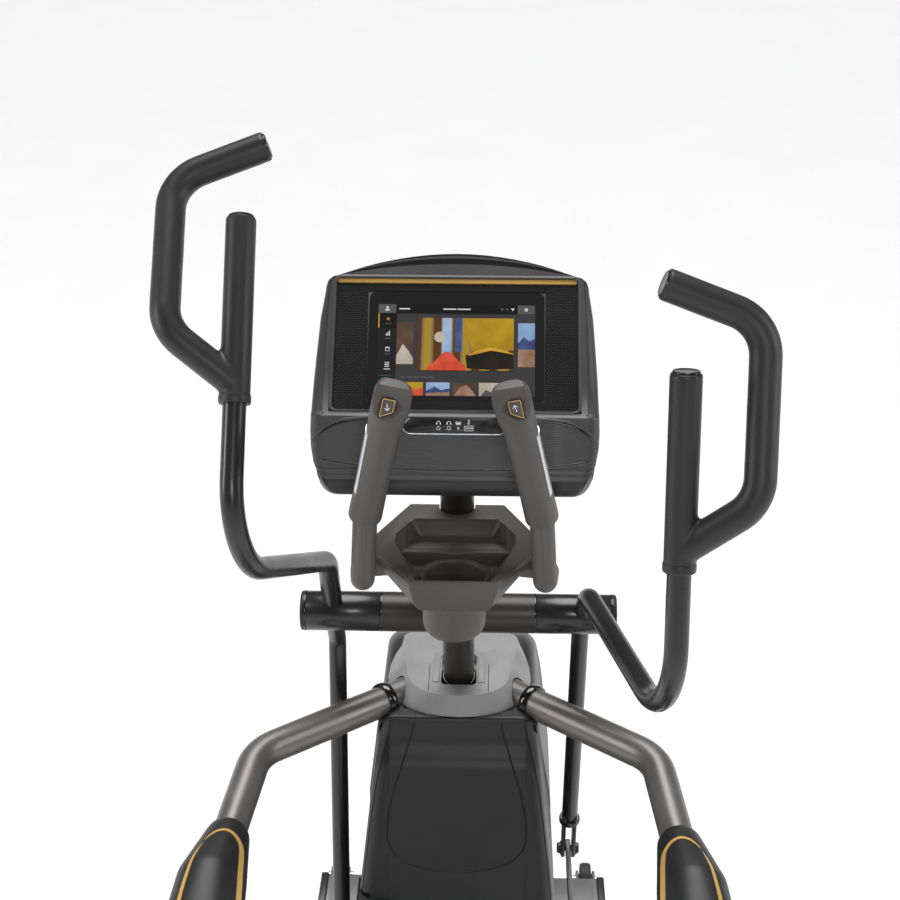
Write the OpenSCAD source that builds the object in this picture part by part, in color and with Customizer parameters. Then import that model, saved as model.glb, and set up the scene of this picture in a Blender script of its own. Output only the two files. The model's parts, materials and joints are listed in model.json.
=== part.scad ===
// Front-drive suspension elliptical trainer.
// Frame: +X right and +Y forward as the user stands, +Z up, floor at Z = 0.

/* [Handlebars] */
// Height of the handlebar pivot above the floor
pivot_z = 945; // [900:1:990]
// Half length of the pivot crossbar over its end caps
bar_half = 251; // [245:1:260]
// Diameter of the crossbar and of the handlebar sleeves
bar_d = 63.5; // [60:0.5:66]
// Outer diameter of the handlebar tube
tube_d = 31.8; // [28:0.1:33]
// Diameter of the soft grips
grip_d = 41; // [38:0.5:44]
// Distance from the pivot to the clevis pin
lower_len = 683; // [670:1:690]

/* [Stride linkage] */
// Crank radius, half of the stride
crank_r = 230; // [215:1:232]
// Crank angle of the right pedal above the horizontal, as it stands
crank_phase = 57.65; // [50:0.05:65]
// Length of the hanging swing arms
swing_len = 430; // [420:1:440]
// Crank pin to swing-arm pin along the foot link
foot_len = 715; // [705:1:725]
// Handle-link pin ahead of the swing-arm pin
link_offset = 126; // [115:1:135]
// Pin distance of the link between handlebar and foot link
link_len = 521; // [515:1:530]

/* [Console] */
// Height of the middle of the screen
screen_z = 1468; // [1440:1:1490]
// Backward rake of the screen from vertical
screen_rake = 44.4; // [40:0.1:50]
// Greatest width of the console
console_w = 395; // [380:1:410]

/* [Frame] */
// Outer diameter of the mast and of the suspension arms
mast_d = 50.8; // [48:0.1:54]
// Backward lean of the mast from vertical
mast_lean = 20; // [18:0.5:22]
// Width of the front stabilizer over its end caps
front_w = 570; // [540:1:600]
// Greatest half width of the shroud
shroud_half = 166; // [163:1:168]

/* [Hidden] */
$fn = 48;
LEFT = -1;
RIGHT = 1;

black = [0.07, 0.07, 0.075];
satin = [0.13, 0.13, 0.14];
warm_grey = [0.36, 0.34, 0.33];
mid_grey = [0.45, 0.45, 0.46];
steel = [0.72, 0.73, 0.75];
gold = [0.85, 0.66, 0.28];
rubber = [0.09, 0.09, 0.09];

fit = 0.05;          // radial clearance of a running fit
gap = 0.4;           // clearance between parts that only pass each other
pivot_y = 340;       // handlebar pivot, forward of the middle of the machine
bar_r = bar_d / 2;
tube_r = tube_d / 2;
grip_r = grip_d / 2;
mast_r = mast_d / 2;
wall = 3;

// Fixed pivots of the linkage in the side plane, as [forward, up]
handle_pivot = [pivot_y, pivot_z];
crank_c = [490, 330];
swing_pivot = [-200, 700];

// Where two circles cross; turn picks the side of the line between their centres
function meet(a, ra, b, rb, turn) =
  let (d = norm(b - a), u = (b - a) / d, along = (ra * ra - rb * rb + d * d) / (2 * d),
       off = sqrt(ra * ra - along * along))
  a + along * u + turn * off * [-u[1], u[0]];
function aim(a, b) = atan2(b[1] - a[1], b[0] - a[0]);

function crank_pin(s) = crank_c + s * crank_r * [cos(crank_phase), sin(crank_phase)];
function swing_pin(s) = meet(swing_pivot, swing_len, crank_pin(s), foot_len, -1);
function foot_tilt(s) = aim(swing_pin(s), crank_pin(s));
function link_pin(s) = swing_pin(s) + link_offset * [cos(foot_tilt(s)), sin(foot_tilt(s))];
function clevis_pin(s) = meet(handle_pivot, lower_len, link_pin(s), link_len, 1);

// Sideways places, as distances from the middle plane
crank_x = 88;
crank_t = 14;
foot_x = 106;
foot_w = 30;
foot_h = 56;
clevis_x = 200;
link_t = 8;
swing_x = 350;
pin_r = 10;
pin_small = 6;

// Handlebar, drawn as the right one stands: its lower tube runs to [236, -641] from the pivot
lower_rake = 20.2;
elbow_up = [200, -104, 91];
elbow_out = [291, -514, 119];
grip_rake = 12;
grip_from = 226;
grip_to = 481;
outer_low = [385, -470, 437];
outer_high = [392, -376, 640];
outer_tip = [262, -373, 690];
function along_grip(t) = elbow_out + t * [0, sin(grip_rake), cos(grip_rake)];
clevis_low = lower_len * [sin(lower_rake), -cos(lower_rake)];
function handle_swing(s) = aim(handle_pivot, clevis_pin(s)) - aim([0, 0], clevis_low);

// Screen, console and grips
screen_y = 166;
function mast_at(t) = [0, pivot_y - t * sin(mast_lean), pivot_z + t * cos(mast_lean)];
pulse_low = [120, 30, 1277];
pulse_high = [76, -60, 1501];
pulse_r = 22;
tray_top = 1178;
tray_low = 1126;
cup_y = 80;

arm_start = [0, 470, 757];
arm_bend = [311, 188, 775];
arm_end = [345, -105, 737];
arm_path = [arm_start, arm_bend, arm_end];
cap_low = 762;
cap_high = 796;

// ---------- tubes ----------

module frame_at(origin, ex, ey, ez) {
  multmatrix([
    [ex[0], ey[0], ez[0], origin[0]],
    [ex[1], ey[1], ez[1], origin[1]],
    [ex[2], ey[2], ez[2], origin[2]],
    [0, 0, 0, 1]
  ]) children();
}

function unit(v) = v / norm(v);

// Straight round bar from a to b
module rod(a, b, r) {
  d = b - a;
  translate(a)
    rotate([0, acos(d[2] / norm(d)), atan2(d[1], d[0])])
      cylinder(h = norm(d), r = r);
}

// Round bar along corner points, each inner corner bent to bend_r: one radius, or one for each point
function radius_at(bend_r, i) = is_list(bend_r) ? bend_r[i] : bend_r;
function setback(p, i, bend_r) =
  i == 0 || i == len(p) - 1 ? 0 :
  let (u = unit(p[i - 1] - p[i]), v = unit(p[i + 1] - p[i]))
  radius_at(bend_r, i) / tan(acos(u * v) / 2);

// Tube along corner points; inner = 0 leaves it solid. The straights lap the ends of the
// bends, which are thinner by the lap, so that the pieces join into one solid.
lap = 0.15;
module bent_pipe(p, bend_r, r, inner) {
  for (i = [0 : len(p) - 2]) {
    u = unit(p[i + 1] - p[i]);
    from = p[i] + u * (setback(p, i, bend_r) - (i == 0 ? 0 : 0.6));
    to = p[i + 1] - u * (setback(p, i + 1, bend_r) - (i == len(p) - 2 ? 0 : 0.6));
    difference() {
      rod(from, to, r);
      if (inner > 0)
        rod(from - u, to + u, inner);
    }
  }
  for (i = [1 : 1 : len(p) - 2]) {
    u = unit(p[i - 1] - p[i]);
    v = unit(p[i + 1] - p[i]);
    half = acos(u * v) / 2;
    arc_r = radius_at(bend_r, i);
    centre = p[i] + unit(u + v) * arc_r / sin(half);
    out = unit(p[i] + u * arc_r / tan(half) - centre);
    frame_at(centre, out, -u, cross(out, -u))
      rotate_extrude(angle = 180 - 2 * half)
        translate([arc_r, 0])
          difference() {
            circle(r = r - lap);
            if (inner > 0)
              circle(r = inner + lap);
          }
  }
}

module bent_rod(p, bend_r, r) {
  bent_pipe(p, bend_r, r, 0);
}

// Bar along X between x0 and x1, at [forward, up]
module cross_bar(at, x0, x1, r) {
  translate([min(x0, x1), at[0], at[1]])
    rotate([0, 90, 0])
      cylinder(h = abs(x1 - x0), r = r);
}

// Straight sides of a flat bar from a to b, as [forward, up]
module bar_sides(a, b, ra, rb) {
  translate(a)
    rotate(aim(a, b))
      polygon([[0, -ra], [norm(b - a), -rb], [norm(b - a), rb], [0, ra]]);
}

// Flat bar in the side plane from a to b with round ends, between x0 and x1
module side_bar(a, b, ra, rb, x0, x1) {
  side_plate(min(x0, x1), max(x0, x1)) {
    bar_sides(a, b, ra, rb);
    translate(a)
      circle(r = ra);
    translate(b)
      circle(r = rb);
  }
}

module box(from, to) {
  translate(from)
    cube(to - from);
}

// Side profile drawn as [forward, up], extruded from x0 to x1
module side_plate(x0, x1) {
  translate([x0, 0, 0])
    rotate([90, 0, 90])
      linear_extrude(x1 - x0)
        children();
}

module mirrored(s) {
  scale_s = s < 0 ? 1 : 0;
  mirror([scale_s, 0, 0])
    children();
}

module both_sides() {
  for (s = [LEFT, RIGHT])
    mirrored(s)
      children();
}

// ---------- base frame ----------

beam_top = 85;
beam_half = 35;
tower_in = 57;
tower_out = 79;
fly_c = [660, 190];
fly_r = 92;
stab_y0 = 678;
stab_y1 = 768;
rear_y0 = -826;
rear_y1 = -756;
foot_y = (rear_y0 + rear_y1) / 2;
wheel_c = [794, 56];
wheel_r = 34;
wheel_x = 249;

module main_frame() {
  color(satin)
    difference() {
      union() {
        difference() {
          box([-beam_half, rear_y1, 35], [beam_half, stab_y0, beam_top]);
          box([-beam_half + wall, rear_y1 - 1, 35 + wall], [beam_half - wall, stab_y0 + 1, beam_top - wall]);
        }
        box([-tower_out, 430, beam_top], [tower_out, 715, beam_top + 6]);
        both_sides() {
          box([tower_in, 460, beam_top + 6], [tower_out, 520, 672]);
          cross_bar(crank_c, tower_in, tower_out, 40);
        }
        for (z = [600, 660])
          box([-tower_in, 405, z], [tower_in, 520, z + 12]);
        box([-beam_half, 640, beam_top + 6], [-beam_half + 8, 680, fly_c[1] + 18]);
        box([tower_out - 8, 640, beam_top + 6], [tower_out, 680, fly_c[1] + 18]);
      }
      rod(mast_at(-420), mast_at(0), mast_r);
      cross_bar(crank_c, -90, 90, 26);
      cross_bar(fly_c, -40, 90, 8);
    }
}

module front_stabilizer() {
  color(mid_grey) {
    difference() {
      box([-front_w / 2 + 15, stab_y0, 30], [front_w / 2 - 15, stab_y1, 80]);
      box([-front_w / 2, stab_y0 + wall, 30 + wall], [front_w / 2, stab_y1 - wall, 80 - wall]);
      both_sides()
        box([wheel_x - 14, wheel_c[0] - wheel_r - 2, 20], [wheel_x + 14, stab_y1 + 1, 79]);
    }
    box([-front_w / 2 + 25, stab_y0 + 6, 80], [front_w / 2 - 25, stab_y1 - 6, 84]);
    both_sides()
      for (x = [wheel_x - 19, wheel_x + 14])
        difference() {
          union() {
            box([x, stab_y1, 38], [x + 5, wheel_c[0], 74]);
            cross_bar(wheel_c, x, x + 5, 18);
          }
          cross_bar(wheel_c, x - 1, x + 6, 5);
        }
  }
}

module transport_wheel(s) {
  color(rubber)
    mirrored(s)
      difference() {
        union() {
          cross_bar(wheel_c, wheel_x - 11, wheel_x + 11, wheel_r);
          cross_bar(wheel_c, wheel_x - 13, wheel_x + 13, 12);
        }
        cross_bar(wheel_c, wheel_x - 14, wheel_x + 14, 5 + fit);
      }
}

module wheel_bolts() {
  color(steel)
    both_sides() {
      cross_bar(wheel_c, wheel_x - 19, wheel_x + 19, 5);
      cross_bar(wheel_c, wheel_x - 25, wheel_x - 19, 9);
      cross_bar(wheel_c, wheel_x + 19, wheel_x + 25, 8);
    }
}

module rear_stabilizer() {
  color(satin) {
    difference() {
      box([-230, rear_y0, 40], [230, rear_y1, beam_top]);
      box([-240, rear_y0 + wall, 40 + wall], [240, rear_y1 - wall, beam_top - wall]);
      both_sides()
        rod([200, foot_y, 30], [200, foot_y, 50], 5 + fit);
    }
    both_sides()
      difference() {
        rod([200, foot_y, 43], [200, foot_y, 55], 11);
        rod([200, foot_y, 30], [200, foot_y, 60], 5 + fit);
      }
  }
}

module levelling_foot(s) {
  color(rubber)
    mirrored(s) {
      rod([200, foot_y, 0], [200, foot_y, 12], 24);
      rod([200, foot_y, 12], [200, foot_y, 18], 9);
      rod([200, foot_y, 18], [200, foot_y, 70], 5);
    }
}

module stabilizer_caps() {
  color(black)
    both_sides() {
      box([front_w / 2 - 15, stab_y0 - 2, 0], [front_w / 2, stab_y1 + 2, 84]);
      box([front_w / 2 - 60, stab_y0 + 8, 0], [front_w / 2 - 15, stab_y1 - 8, 30]);
      box([230, rear_y0 - 2, 38], [238, rear_y1 + 2, 87]);
    }
}

// ---------- mast and pivot ----------

module lower_mast() {
  color(warm_grey)
    difference() {
      rod(mast_at(-395), mast_at(0), mast_r);
      rod(mast_at(-400), mast_at(1), mast_r - wall);
      cross_bar(handle_pivot, -60, 60, bar_r);
    }
}

plate_n = -94;
module upper_mast() {
  color(warm_grey) {
    difference() {
      rod(mast_at(0), mast_at(500), mast_r);
      rod(mast_at(-1), mast_at(520), mast_r - wall);
      cross_bar(handle_pivot, -60, 60, bar_r);
      console_frame()
        box([-100, -300, plate_n], [100, 300, 200]);
    }
    console_frame()
      box([-60, -110, plate_n], [60, 10, plate_n + 5]);
  }
}

module pivot_crossbar() {
  color(satin)
    difference() {
      cross_bar(handle_pivot, -121, 121, bar_r);
      cross_bar(handle_pivot, -122, 122, 20);
    }
}

module pivot_axle() {
  color(steel)
    difference() {
      cross_bar(handle_pivot, 3 - bar_half, bar_half - 3, 20);
      cross_bar(handle_pivot, -bar_half, bar_half, 12);
    }
}

bushing_r = 24;
module pivot_bushings() {
  color(gold)
    both_sides()
      for (x = [123.2, 221])
        difference() {
          union() {
            cross_bar(handle_pivot, x, x + 20, bushing_r);
            if (x < 200)
              cross_bar(handle_pivot, 121, 123.2, bar_r - 1);
          }
          cross_bar(handle_pivot, 120, x + 21, 20);
        }
}

module axle_end_caps() {
  color(black)
    both_sides()
      difference() {
        cross_bar(handle_pivot, 243.5, bar_half, bar_r);
        cross_bar(handle_pivot, 240, bar_half - 3, 20);
      }
}

// ---------- handlebars ----------

// Puts a handlebar drawn as the right one stands where side s stands
module on_handle(s) {
  mirrored(s)
    translate([0, pivot_y, pivot_z])
      rotate([handle_swing(s), 0, 0])
        children();
}

elbow_start = [200, -18, 16];
lower_knee = [clevis_x, 80, -55];
clevis_point = [clevis_x, clevis_low[0], clevis_low[1]];
fork_top = clevis_point + 92 * unit(lower_knee - clevis_point);
lower_tube_r = 14.3;

core_branch = [along_grip(grip_from + 24), outer_low, outer_high, outer_high + 132 * unit(outer_tip - outer_high)];
branch_r = 13;
fork_dir = unit([clevis_low[0] - fork_top[1], clevis_low[1] - fork_top[2]]);

module handlebar(s) {
  color(black)
    on_handle(s)
      difference() {
        union() {
          cross_bar([0, 0], 123.5, 243, bar_r);
          bent_pipe([elbow_start, elbow_up, elbow_out, along_grip(grip_to - 6)], [0, 52, 108, 0], tube_r, tube_r - wall);
          bent_pipe(core_branch, 45, branch_r, branch_r - wall);
          bent_pipe([[clevis_x, 12, -12], lower_knee, fork_top], 30, lower_tube_r, lower_tube_r - wall);
          rod(fork_top, fork_top + 10 * unit(clevis_point - fork_top), 19);
          for (x = [clevis_x - 13, clevis_x + 6])
            side_bar([fork_top[1], fork_top[2]], clevis_low, 16, 17, x, x + 7);
        }
        cross_bar([0, 0], 120, 250, bushing_r + fit);
        cross_bar(clevis_low, clevis_x - 20, clevis_x + 20, pin_small);
        side_bar(clevis_low - 18 * fork_dir, clevis_low + 30 * fork_dir, 24, 24, clevis_x - 5.5, clevis_x + 5.5);
      }
}

module grip(s) {
  color(rubber)
    on_handle(s)
      difference() {
        union() {
          rod(along_grip(grip_from), along_grip(grip_to), grip_r);
          bent_pipe([core_branch[0], outer_low, outer_high, outer_tip], 45, grip_r - 0.5, branch_r + fit);
          rod(outer_tip - 6 * unit(outer_tip - outer_high), outer_tip, branch_r + 2);
        }
        rod(along_grip(grip_from - 1), along_grip(grip_to - 6), tube_r + fit);
        rod(core_branch[0], core_branch[0] + 50 * unit(outer_low - core_branch[0]), branch_r + 2 * fit);
      }
}

module clevis_bolt(s) {
  color(steel)
    on_handle(s) {
      cross_bar(clevis_low, clevis_x - 18, clevis_x + 16, pin_small);
      cross_bar(clevis_low, clevis_x - 20, clevis_x - 13, 10);
      cross_bar(clevis_low, clevis_x + 13, clevis_x + 19, 10);
    }
}

// Slightly cranked flat bar from the clevis back to the foot link
module handle_link(s) {
  a = clevis_pin(s);
  b = link_pin(s);
  mid = (a + b) / 2 + 14 * [-(b - a)[1], (b - a)[0]] / norm(b - a);
  x0 = clevis_x - link_t / 2;
  x1 = clevis_x + link_t / 2;
  color(mid_grey)
    mirrored(s)
      side_plate(x0, x1)
        difference() {
          union() {
            bar_sides(a, mid, 14, 15);
            bar_sides(mid, b, 15, 16);
            translate(a)
              circle(r = 16);
            translate(mid)
              circle(r = 15.01);
            translate(b)
              circle(r = 19);
          }
          translate(a)
            circle(r = pin_small + fit);
          translate(b)
            circle(r = 9 + fit);
        }
}

// ---------- suspension arms, swing arms and foot links ----------

module arm_room(r) {
  both_sides()
    bent_rod(arm_path, 90, r);
}

module suspension_arm(s) {
  arm_end_side = [arm_end[1] - 4, arm_end[2]];
  color(warm_grey)
    mirrored(s)
      difference() {
        union() {
          bent_pipe(arm_path, 90, mast_r, mast_r - wall);
          box([swing_x - 34, arm_end[1] - 14, 709], [swing_x + 31, arm_end[1] + 8, 765]);
          for (x = [swing_x - 31, swing_x + 24])
            side_plate(x, x + 7) {
              bar_sides(arm_end_side, swing_pivot, 25, 25);
              translate(swing_pivot)
                circle(r = 25);
            }
        }
        rod(mast_at(-400), mast_at(0), mast_r);
        box([-60, 300, 700], [0.3, 560, 820]);
        cross_bar(swing_pivot, 300, 400, pin_r);
      }
}

module cover_shape(grow) {
  hull() {
    translate([333, -1, 751])
      sphere(r = 34 + grow, $fn = 24);
    translate([343, -90, 742])
      sphere(r = 51 + grow, $fn = 24);
    for (x = [-1, 1])
      translate([swing_x + x * 8, swing_pivot[0], swing_pivot[1]])
        sphere(r = 52 + grow, $fn = 24);
  }
}

module arm_covers() {
  color(black)
    both_sides()
      difference() {
        cover_shape(0);
        cover_shape(-3.5);
        rod(arm_end, arm_bend, mast_r + 1);
        box([swing_x - 30, -290, 600], [swing_x + 30, -105, 690]);
      }
}

module trim_outline(in) {
  offset(delta = -in)
    polygon([
      [303, -48], [308, -32], [317, -23], [329, -18], [343, -23], [356, -44], [366, -89],
      [376, -140], [378, -165], [370, -215], [310, -215], [297, -163]
    ]);
}

module cover_trims() {
  color(gold)
    both_sides()
      intersection() {
        difference() {
          cover_shape(1.6);
          cover_shape(0.05);
        }
        translate([0, 0, 735])
          linear_extrude(100)
            difference() {
              trim_outline(0);
              trim_outline(4.5);
            }
      }
}

module swing_axles() {
  color(steel)
    both_sides() {
      cross_bar(swing_pivot, swing_x - 36, swing_x + 36, pin_r);
      cross_bar(swing_pivot, swing_x - 42, swing_x - 31, 15);
      cross_bar(swing_pivot, swing_x + 31, swing_x + 40, 15);
    }
}

module swing_arm(s) {
  p = swing_pin(s);
  top = [swing_x, swing_pivot[0], swing_pivot[1]];
  knee = [292, p[0], p[1]];
  color(warm_grey)
    mirrored(s)
      difference() {
        union() {
          cross_bar(swing_pivot, swing_x - 22, swing_x + 22, 25);
          bent_rod([top, knee, [foot_x + foot_w + 3, p[0], p[1]]], 48, 19);
          cross_bar(p, foot_x - 1, foot_x + foot_w + 4, pin_r);
        }
        cross_bar(swing_pivot, 300, 400, pin_r + fit);
      }
}

// Frame of a foot link: origin at the swing-arm pin, +Y along the link to the crank pin
module on_link(s) {
  p = swing_pin(s);
  mirrored(s)
    translate([0, p[0], p[1]])
      rotate([foot_tilt(s), 0, 0])
        children();
}

pedal_back = -365;
pedal_front = 28;

module foot_link(s) {
  x1 = foot_x + foot_w;
  color(satin)
    on_link(s)
      difference() {
        union() {
          difference() {
            box([foot_x, pedal_back + 25, -foot_h / 2], [x1, foot_len - 10, foot_h / 2]);
            box([foot_x + wall, pedal_back + 28, wall - foot_h / 2], [x1 - wall, -30, foot_h / 2 - wall]);
            box([foot_x + wall, 150, wall - foot_h / 2], [x1 - wall, foot_len - 40, foot_h / 2 - wall]);
          }
          cross_bar([foot_len, 0], foot_x, x1, foot_h / 2);
          cross_bar([link_offset, 0], x1, clevis_x - link_t / 2 - 1, 9);
          cross_bar([link_offset, 0], x1, x1 + 14, 16);
          for (y = [-300, -60])
            box([foot_x - 35, y - 20, foot_h / 2], [x1 + 35, y + 20, foot_h / 2 + 5]);
        }
        cross_bar([0, 0], foot_x - 1, x1 + 1, pin_r + fit);
        cross_bar([foot_len, 0], foot_x - 1, x1 + 1, pin_r + 1);
      }
}

module pedal_outline(in) {
  translate([64 + in, pedal_back + in])
    rounded(164 - 2 * in, pedal_front - pedal_back - 2 * in, 34 - in);
}

module rounded(w, h, r) {
  translate([r, 0])
    square([w - 2 * r, h]);
  translate([0, r])
    square([w, h - 2 * r]);
  for (x = [r, w - r])
    for (y = [r, h - r])
      translate([x, y])
        circle(r = r);
}

module pedal(s) {
  color(black)
    on_link(s)
      translate([0, 0, foot_h / 2 + 5])
        difference() {
          union() {
            linear_extrude(34)
              pedal_outline(0);
            intersection() {
              linear_extrude(62)
                pedal_outline(0);
              box([60, pedal_front - 62, 0], [240, pedal_front, 62]);
            }
          }
          translate([0, 0, 10])
            linear_extrude(60)
              pedal_outline(6);
        }
}

module pedal_mat(s) {
  color(rubber)
    on_link(s)
      translate([0, 0, foot_h / 2 + 15])
        linear_extrude(6)
          pedal_outline(7);
}

// ---------- drive ----------

module crank_axle() {
  color(steel)
    cross_bar(crank_c, -crank_x - crank_t, crank_x + crank_t, 15);
}

module crank(s) {
  pin = crank_pin(s);
  color(satin)
    mirrored(s)
      difference() {
        union() {
          side_bar(crank_c, pin, 34, 25, crank_x, crank_x + crank_t);
          cross_bar(crank_c, crank_x - 8, crank_x, 26);
          cross_bar(pin, crank_x + crank_t, foot_x - 1.5, pin_r);
        }
        cross_bar(crank_c, crank_x - 9, crank_x + crank_t + 1, 15);
      }
}

pulley_r = 185;
fly_pulley_r = 22;
belt_half = 11;

module crank_pulley() {
  color(black)
    difference() {
      union() {
        cross_bar(crank_c, -14, 14, pulley_r);
        cross_bar(crank_c, -30, 30, 28);
      }
      cross_bar(crank_c, -31, 31, 15);
      for (x = [-15, 4])
        difference() {
          cross_bar(crank_c, x, x + 11, pulley_r - 14);
          cross_bar(crank_c, x - 1, x + 12, 34);
        }
      for (a = [0 : 60 : 300])
        cross_bar(crank_c + 105 * [cos(a), sin(a)], -15, 15, 34);
    }
}

module crank_bearings() {
  color(steel)
    both_sides()
      difference() {
        cross_bar(crank_c, tower_in + 2, tower_out - 2, 26);
        cross_bar(crank_c, tower_in, tower_out, 15 + fit);
      }
}

module flywheel() {
  color(steel)
    difference() {
      union() {
        cross_bar(fly_c, 30, 54, fly_r);
        cross_bar(fly_c, 12, 30, 18);
        cross_bar(fly_c, -14, 14, fly_pulley_r);
        cross_bar(fly_c, -25, -14, 14);
        cross_bar(fly_c, 54, 69, 14);
      }
      cross_bar(fly_c, -26, 70, 8 + fit);
    }
}

module flywheel_axle() {
  color(steel) {
    cross_bar(fly_c, -35, 79, 8);
    cross_bar(fly_c, -42, -35, 13);
    cross_bar(fly_c, 79, 86, 13);
  }
}

// Belt outline: tangent loop round both pulleys, grown by t
module belt_loop(t) {
  d = norm(fly_c - crank_c);
  lean = asin((pulley_r - fly_pulley_r) / d);
  big = pulley_r + t;
  small = fly_pulley_r + t;
  circle(r = big, $fn = 96);
  translate([d, 0])
    circle(r = small);
  polygon([
    big * [sin(lean), cos(lean)], [d, 0] + small * [sin(lean), cos(lean)],
    [d, 0] + small * [sin(lean), -cos(lean)], big * [sin(lean), -cos(lean)]
  ]);
}

module drive_belt() {
  color(rubber)
    translate([-belt_half, crank_c[0], crank_c[1]])
      rotate([aim(crank_c, fly_c), 0, 0])
        rotate([90, 0, 90])
          linear_extrude(2 * belt_half)
            difference() {
              belt_loop(3.4);
              belt_loop(gap);
            }
}

// ---------- shroud ----------

module shroud_side(in) {
  offset(delta = -in)
    offset(r = 45)
      offset(delta = -45)
        polygon([
          [320, cap_low], [222, 525], [192, 440], [190, 92], [812, 92],
          [808, 420], [775, 600], [690, 705], [575, cap_low]
        ]);
}

// Front view of the shroud: narrow at the neck, wider below
module shroud_front(in) {
  polygon([
    [-126 + in, cap_low + 5], [-158 + in, 490], [-shroud_half + in, 400], [-shroud_half + in, 80],
    [shroud_half - in, 80], [shroud_half - in, 400], [158 - in, 490], [126 - in, cap_low + 5]
  ]);
}

module shroud_solid(in) {
  intersection() {
    side_plate(-shroud_half, shroud_half)
      shroud_side(in);
    translate([0, 900, 0])
      rotate([90, 0, 0])
        linear_extrude(800)
          shroud_front(in);
  }
}

panel_half = 112;
slot_in = 101;
module panel_zone(grow) {
  box([-panel_half - grow, 150, 93], [panel_half + grow, 341, cap_low + 5]);
}

module shroud_shell() {
  difference() {
    shroud_solid(0);
    shroud_solid(wall);
    box([-150, 205, 80], [150, 735, 100]);
    for (s = [LEFT, RIGHT])
      mirrored(s)
        box([slot_in, 150, 80], [shroud_half - wall, 260, 480]);
    box([-90, 340, 740], [90, 560, 780]);
    arm_room(mast_r + 1.5);
    box([-inlet_half - 1, 780, 119], [inlet_half + 1, 830, 181]);
    box([-beam_half - 2, 150, 80], [beam_half + 2, 830, beam_top + 8]);
  }
}

module side_shroud(s) {
  color(satin)
    difference() {
      shroud_shell();
      panel_zone(0.3);
      box([s > 0 ? -300 : -0.2, 0, 0], [s > 0 ? 0.2 : 300, 900, 900]);
    }
}

module rear_panel() {
  color(black)
    intersection() {
      shroud_shell();
      panel_zone(0);
    }
}

// Cap over the joint of mast and arms: a flat top, a chamfer all round and a low skirt
module cap_low_outline(in) {
  polygon([
    [-64 + in, 324 + in], [64 - in, 324 + in], [97 - in, 350 + in], [120 - in, 430], [113 - in, 500],
    [92 - in, 548 - in], [-92 + in, 548 - in], [-113 + in, 500], [-120 + in, 430], [-97 + in, 350 + in]
  ]);
}

module cap_high_outline() {
  polygon([
    [-50, 333], [50, 333], [76, 360], [99, 483], [84, 537], [-84, 537], [-99, 483], [-76, 360]
  ]);
}

module top_cap() {
  color(mid_grey)
    difference() {
      hull() {
        translate([0, 0, cap_low])
          linear_extrude(6)
            cap_low_outline(0);
        translate([0, 0, cap_high - 1])
          linear_extrude(1)
            cap_high_outline();
      }
      hull() {
        translate([0, 0, cap_low - 1])
          linear_extrude(6)
            cap_low_outline(3.5);
        translate([0, 0, cap_high - 5])
          linear_extrude(1)
            offset(delta = -4)
              cap_high_outline();
      }
      rod(mast_at(-300), mast_at(0), mast_r + 1.5);
      arm_room(mast_r + 1.5);
    }
}

inlet_half = 34;
switch_c = [812, 150];
module power_inlet() {
  color(black)
    difference() {
      union() {
        box([-inlet_half, 778, 120], [inlet_half, 806, 180]);
        box([-inlet_half - 5, 811.6, 115], [inlet_half + 5, 815, 185]);
        box([-inlet_half, 800, 120], [inlet_half, 813, 180]);
      }
      box([-26, 792, 135], [2, 820, 165]);
      box([11, 792, 137], [28, 820, 163]);
    }
}

module power_switch() {
  color(black)
    intersection() {
      box([12, 795, 139], [27, 817, 161]);
      cross_bar([805, 150], 12, 27, 11.5);
    }
}

// ---------- console ----------

module console_frame() {
  translate([0, screen_y, screen_z])
    rotate([90 - screen_rake, 0, 0])
      children();
}

// Side profile of the console as [up the panel, out of the panel]
module console_profile(in) {
  offset(delta = -in)
    offset(r = 12)
      offset(delta = -12)
        polygon([
          [142, 10], [-98, 10], [-108, 15], [-190, -33], [-197, -52],
          [-186, -78], [-135, -89], [30, -89], [80, -76], [130, -48]
        ]);
}

// Face outline of the console
module console_outline(in) {
  half = console_w / 2;
  intersection() {
    hull() {
      translate([0, -240])
        circle(r = 382 - in, $fn = 180);
      translate([0, -100])
        square([2, 2]);
    }
    hull() {
      for (x = [-1, 1]) {
        translate([x * (half - 42), 90])
          circle(r = 24 - in, $fn = 32);
        translate([x * (half - 30), -130])
          circle(r = 30 - in, $fn = 32);
        translate([x * (half - 52), -165])
          circle(r = 40 - in, $fn = 32);
        translate([x * (half - 48), 118])
          circle(r = 24 - in, $fn = 32);
      }
    }
  }
}

module console_solid(in) {
  intersection() {
    translate([-250, 0, 0])
      rotate([90, 0, 90])
        linear_extrude(500)
          console_profile(in);
    translate([0, 0, -150])
      linear_extrude(300)
        console_outline(in);
  }
}

split_n = -14;
glass = [243, 163];

module console_front() {
  color(satin)
    console_frame()
      difference() {
        intersection() {
          difference() {
            console_solid(0);
            console_solid(wall);
          }
          translate([0, 0, split_n])
            linear_extrude(80)
              square([500, 500], center = true);
        }
        box([-168, -96, 2], [168, 100, 30]);
        translate([0, 0, -1])
          box([-glass[0] / 2 - gap, -glass[1] / 2 - gap, -30], [glass[0] / 2 + gap, glass[1] / 2 + gap, 30]);
        port_cut();
      }
  color(satin)
    console_frame()
      difference() {
        box([-172, -99, -2], [172, 103, 2]);
        box([-glass[0] / 2 - gap, -glass[1] / 2 - gap, -30], [glass[0] / 2 + gap, glass[1] / 2 + gap, 30]);
      }
}

module port_cut() {
  translate([0, -118, 9])
    rotate([30, 0, 0])
      box([-74, -12, -8], [74, 12, 8]);
}

module console_back() {
  color(black)
    console_frame()
      difference() {
        intersection() {
          difference() {
            console_solid(0);
            console_solid(wall);
          }
          translate([0, 0, split_n - 100.2])
            linear_extrude(100)
              square([500, 500], center = true);
        }
      }
}

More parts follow.
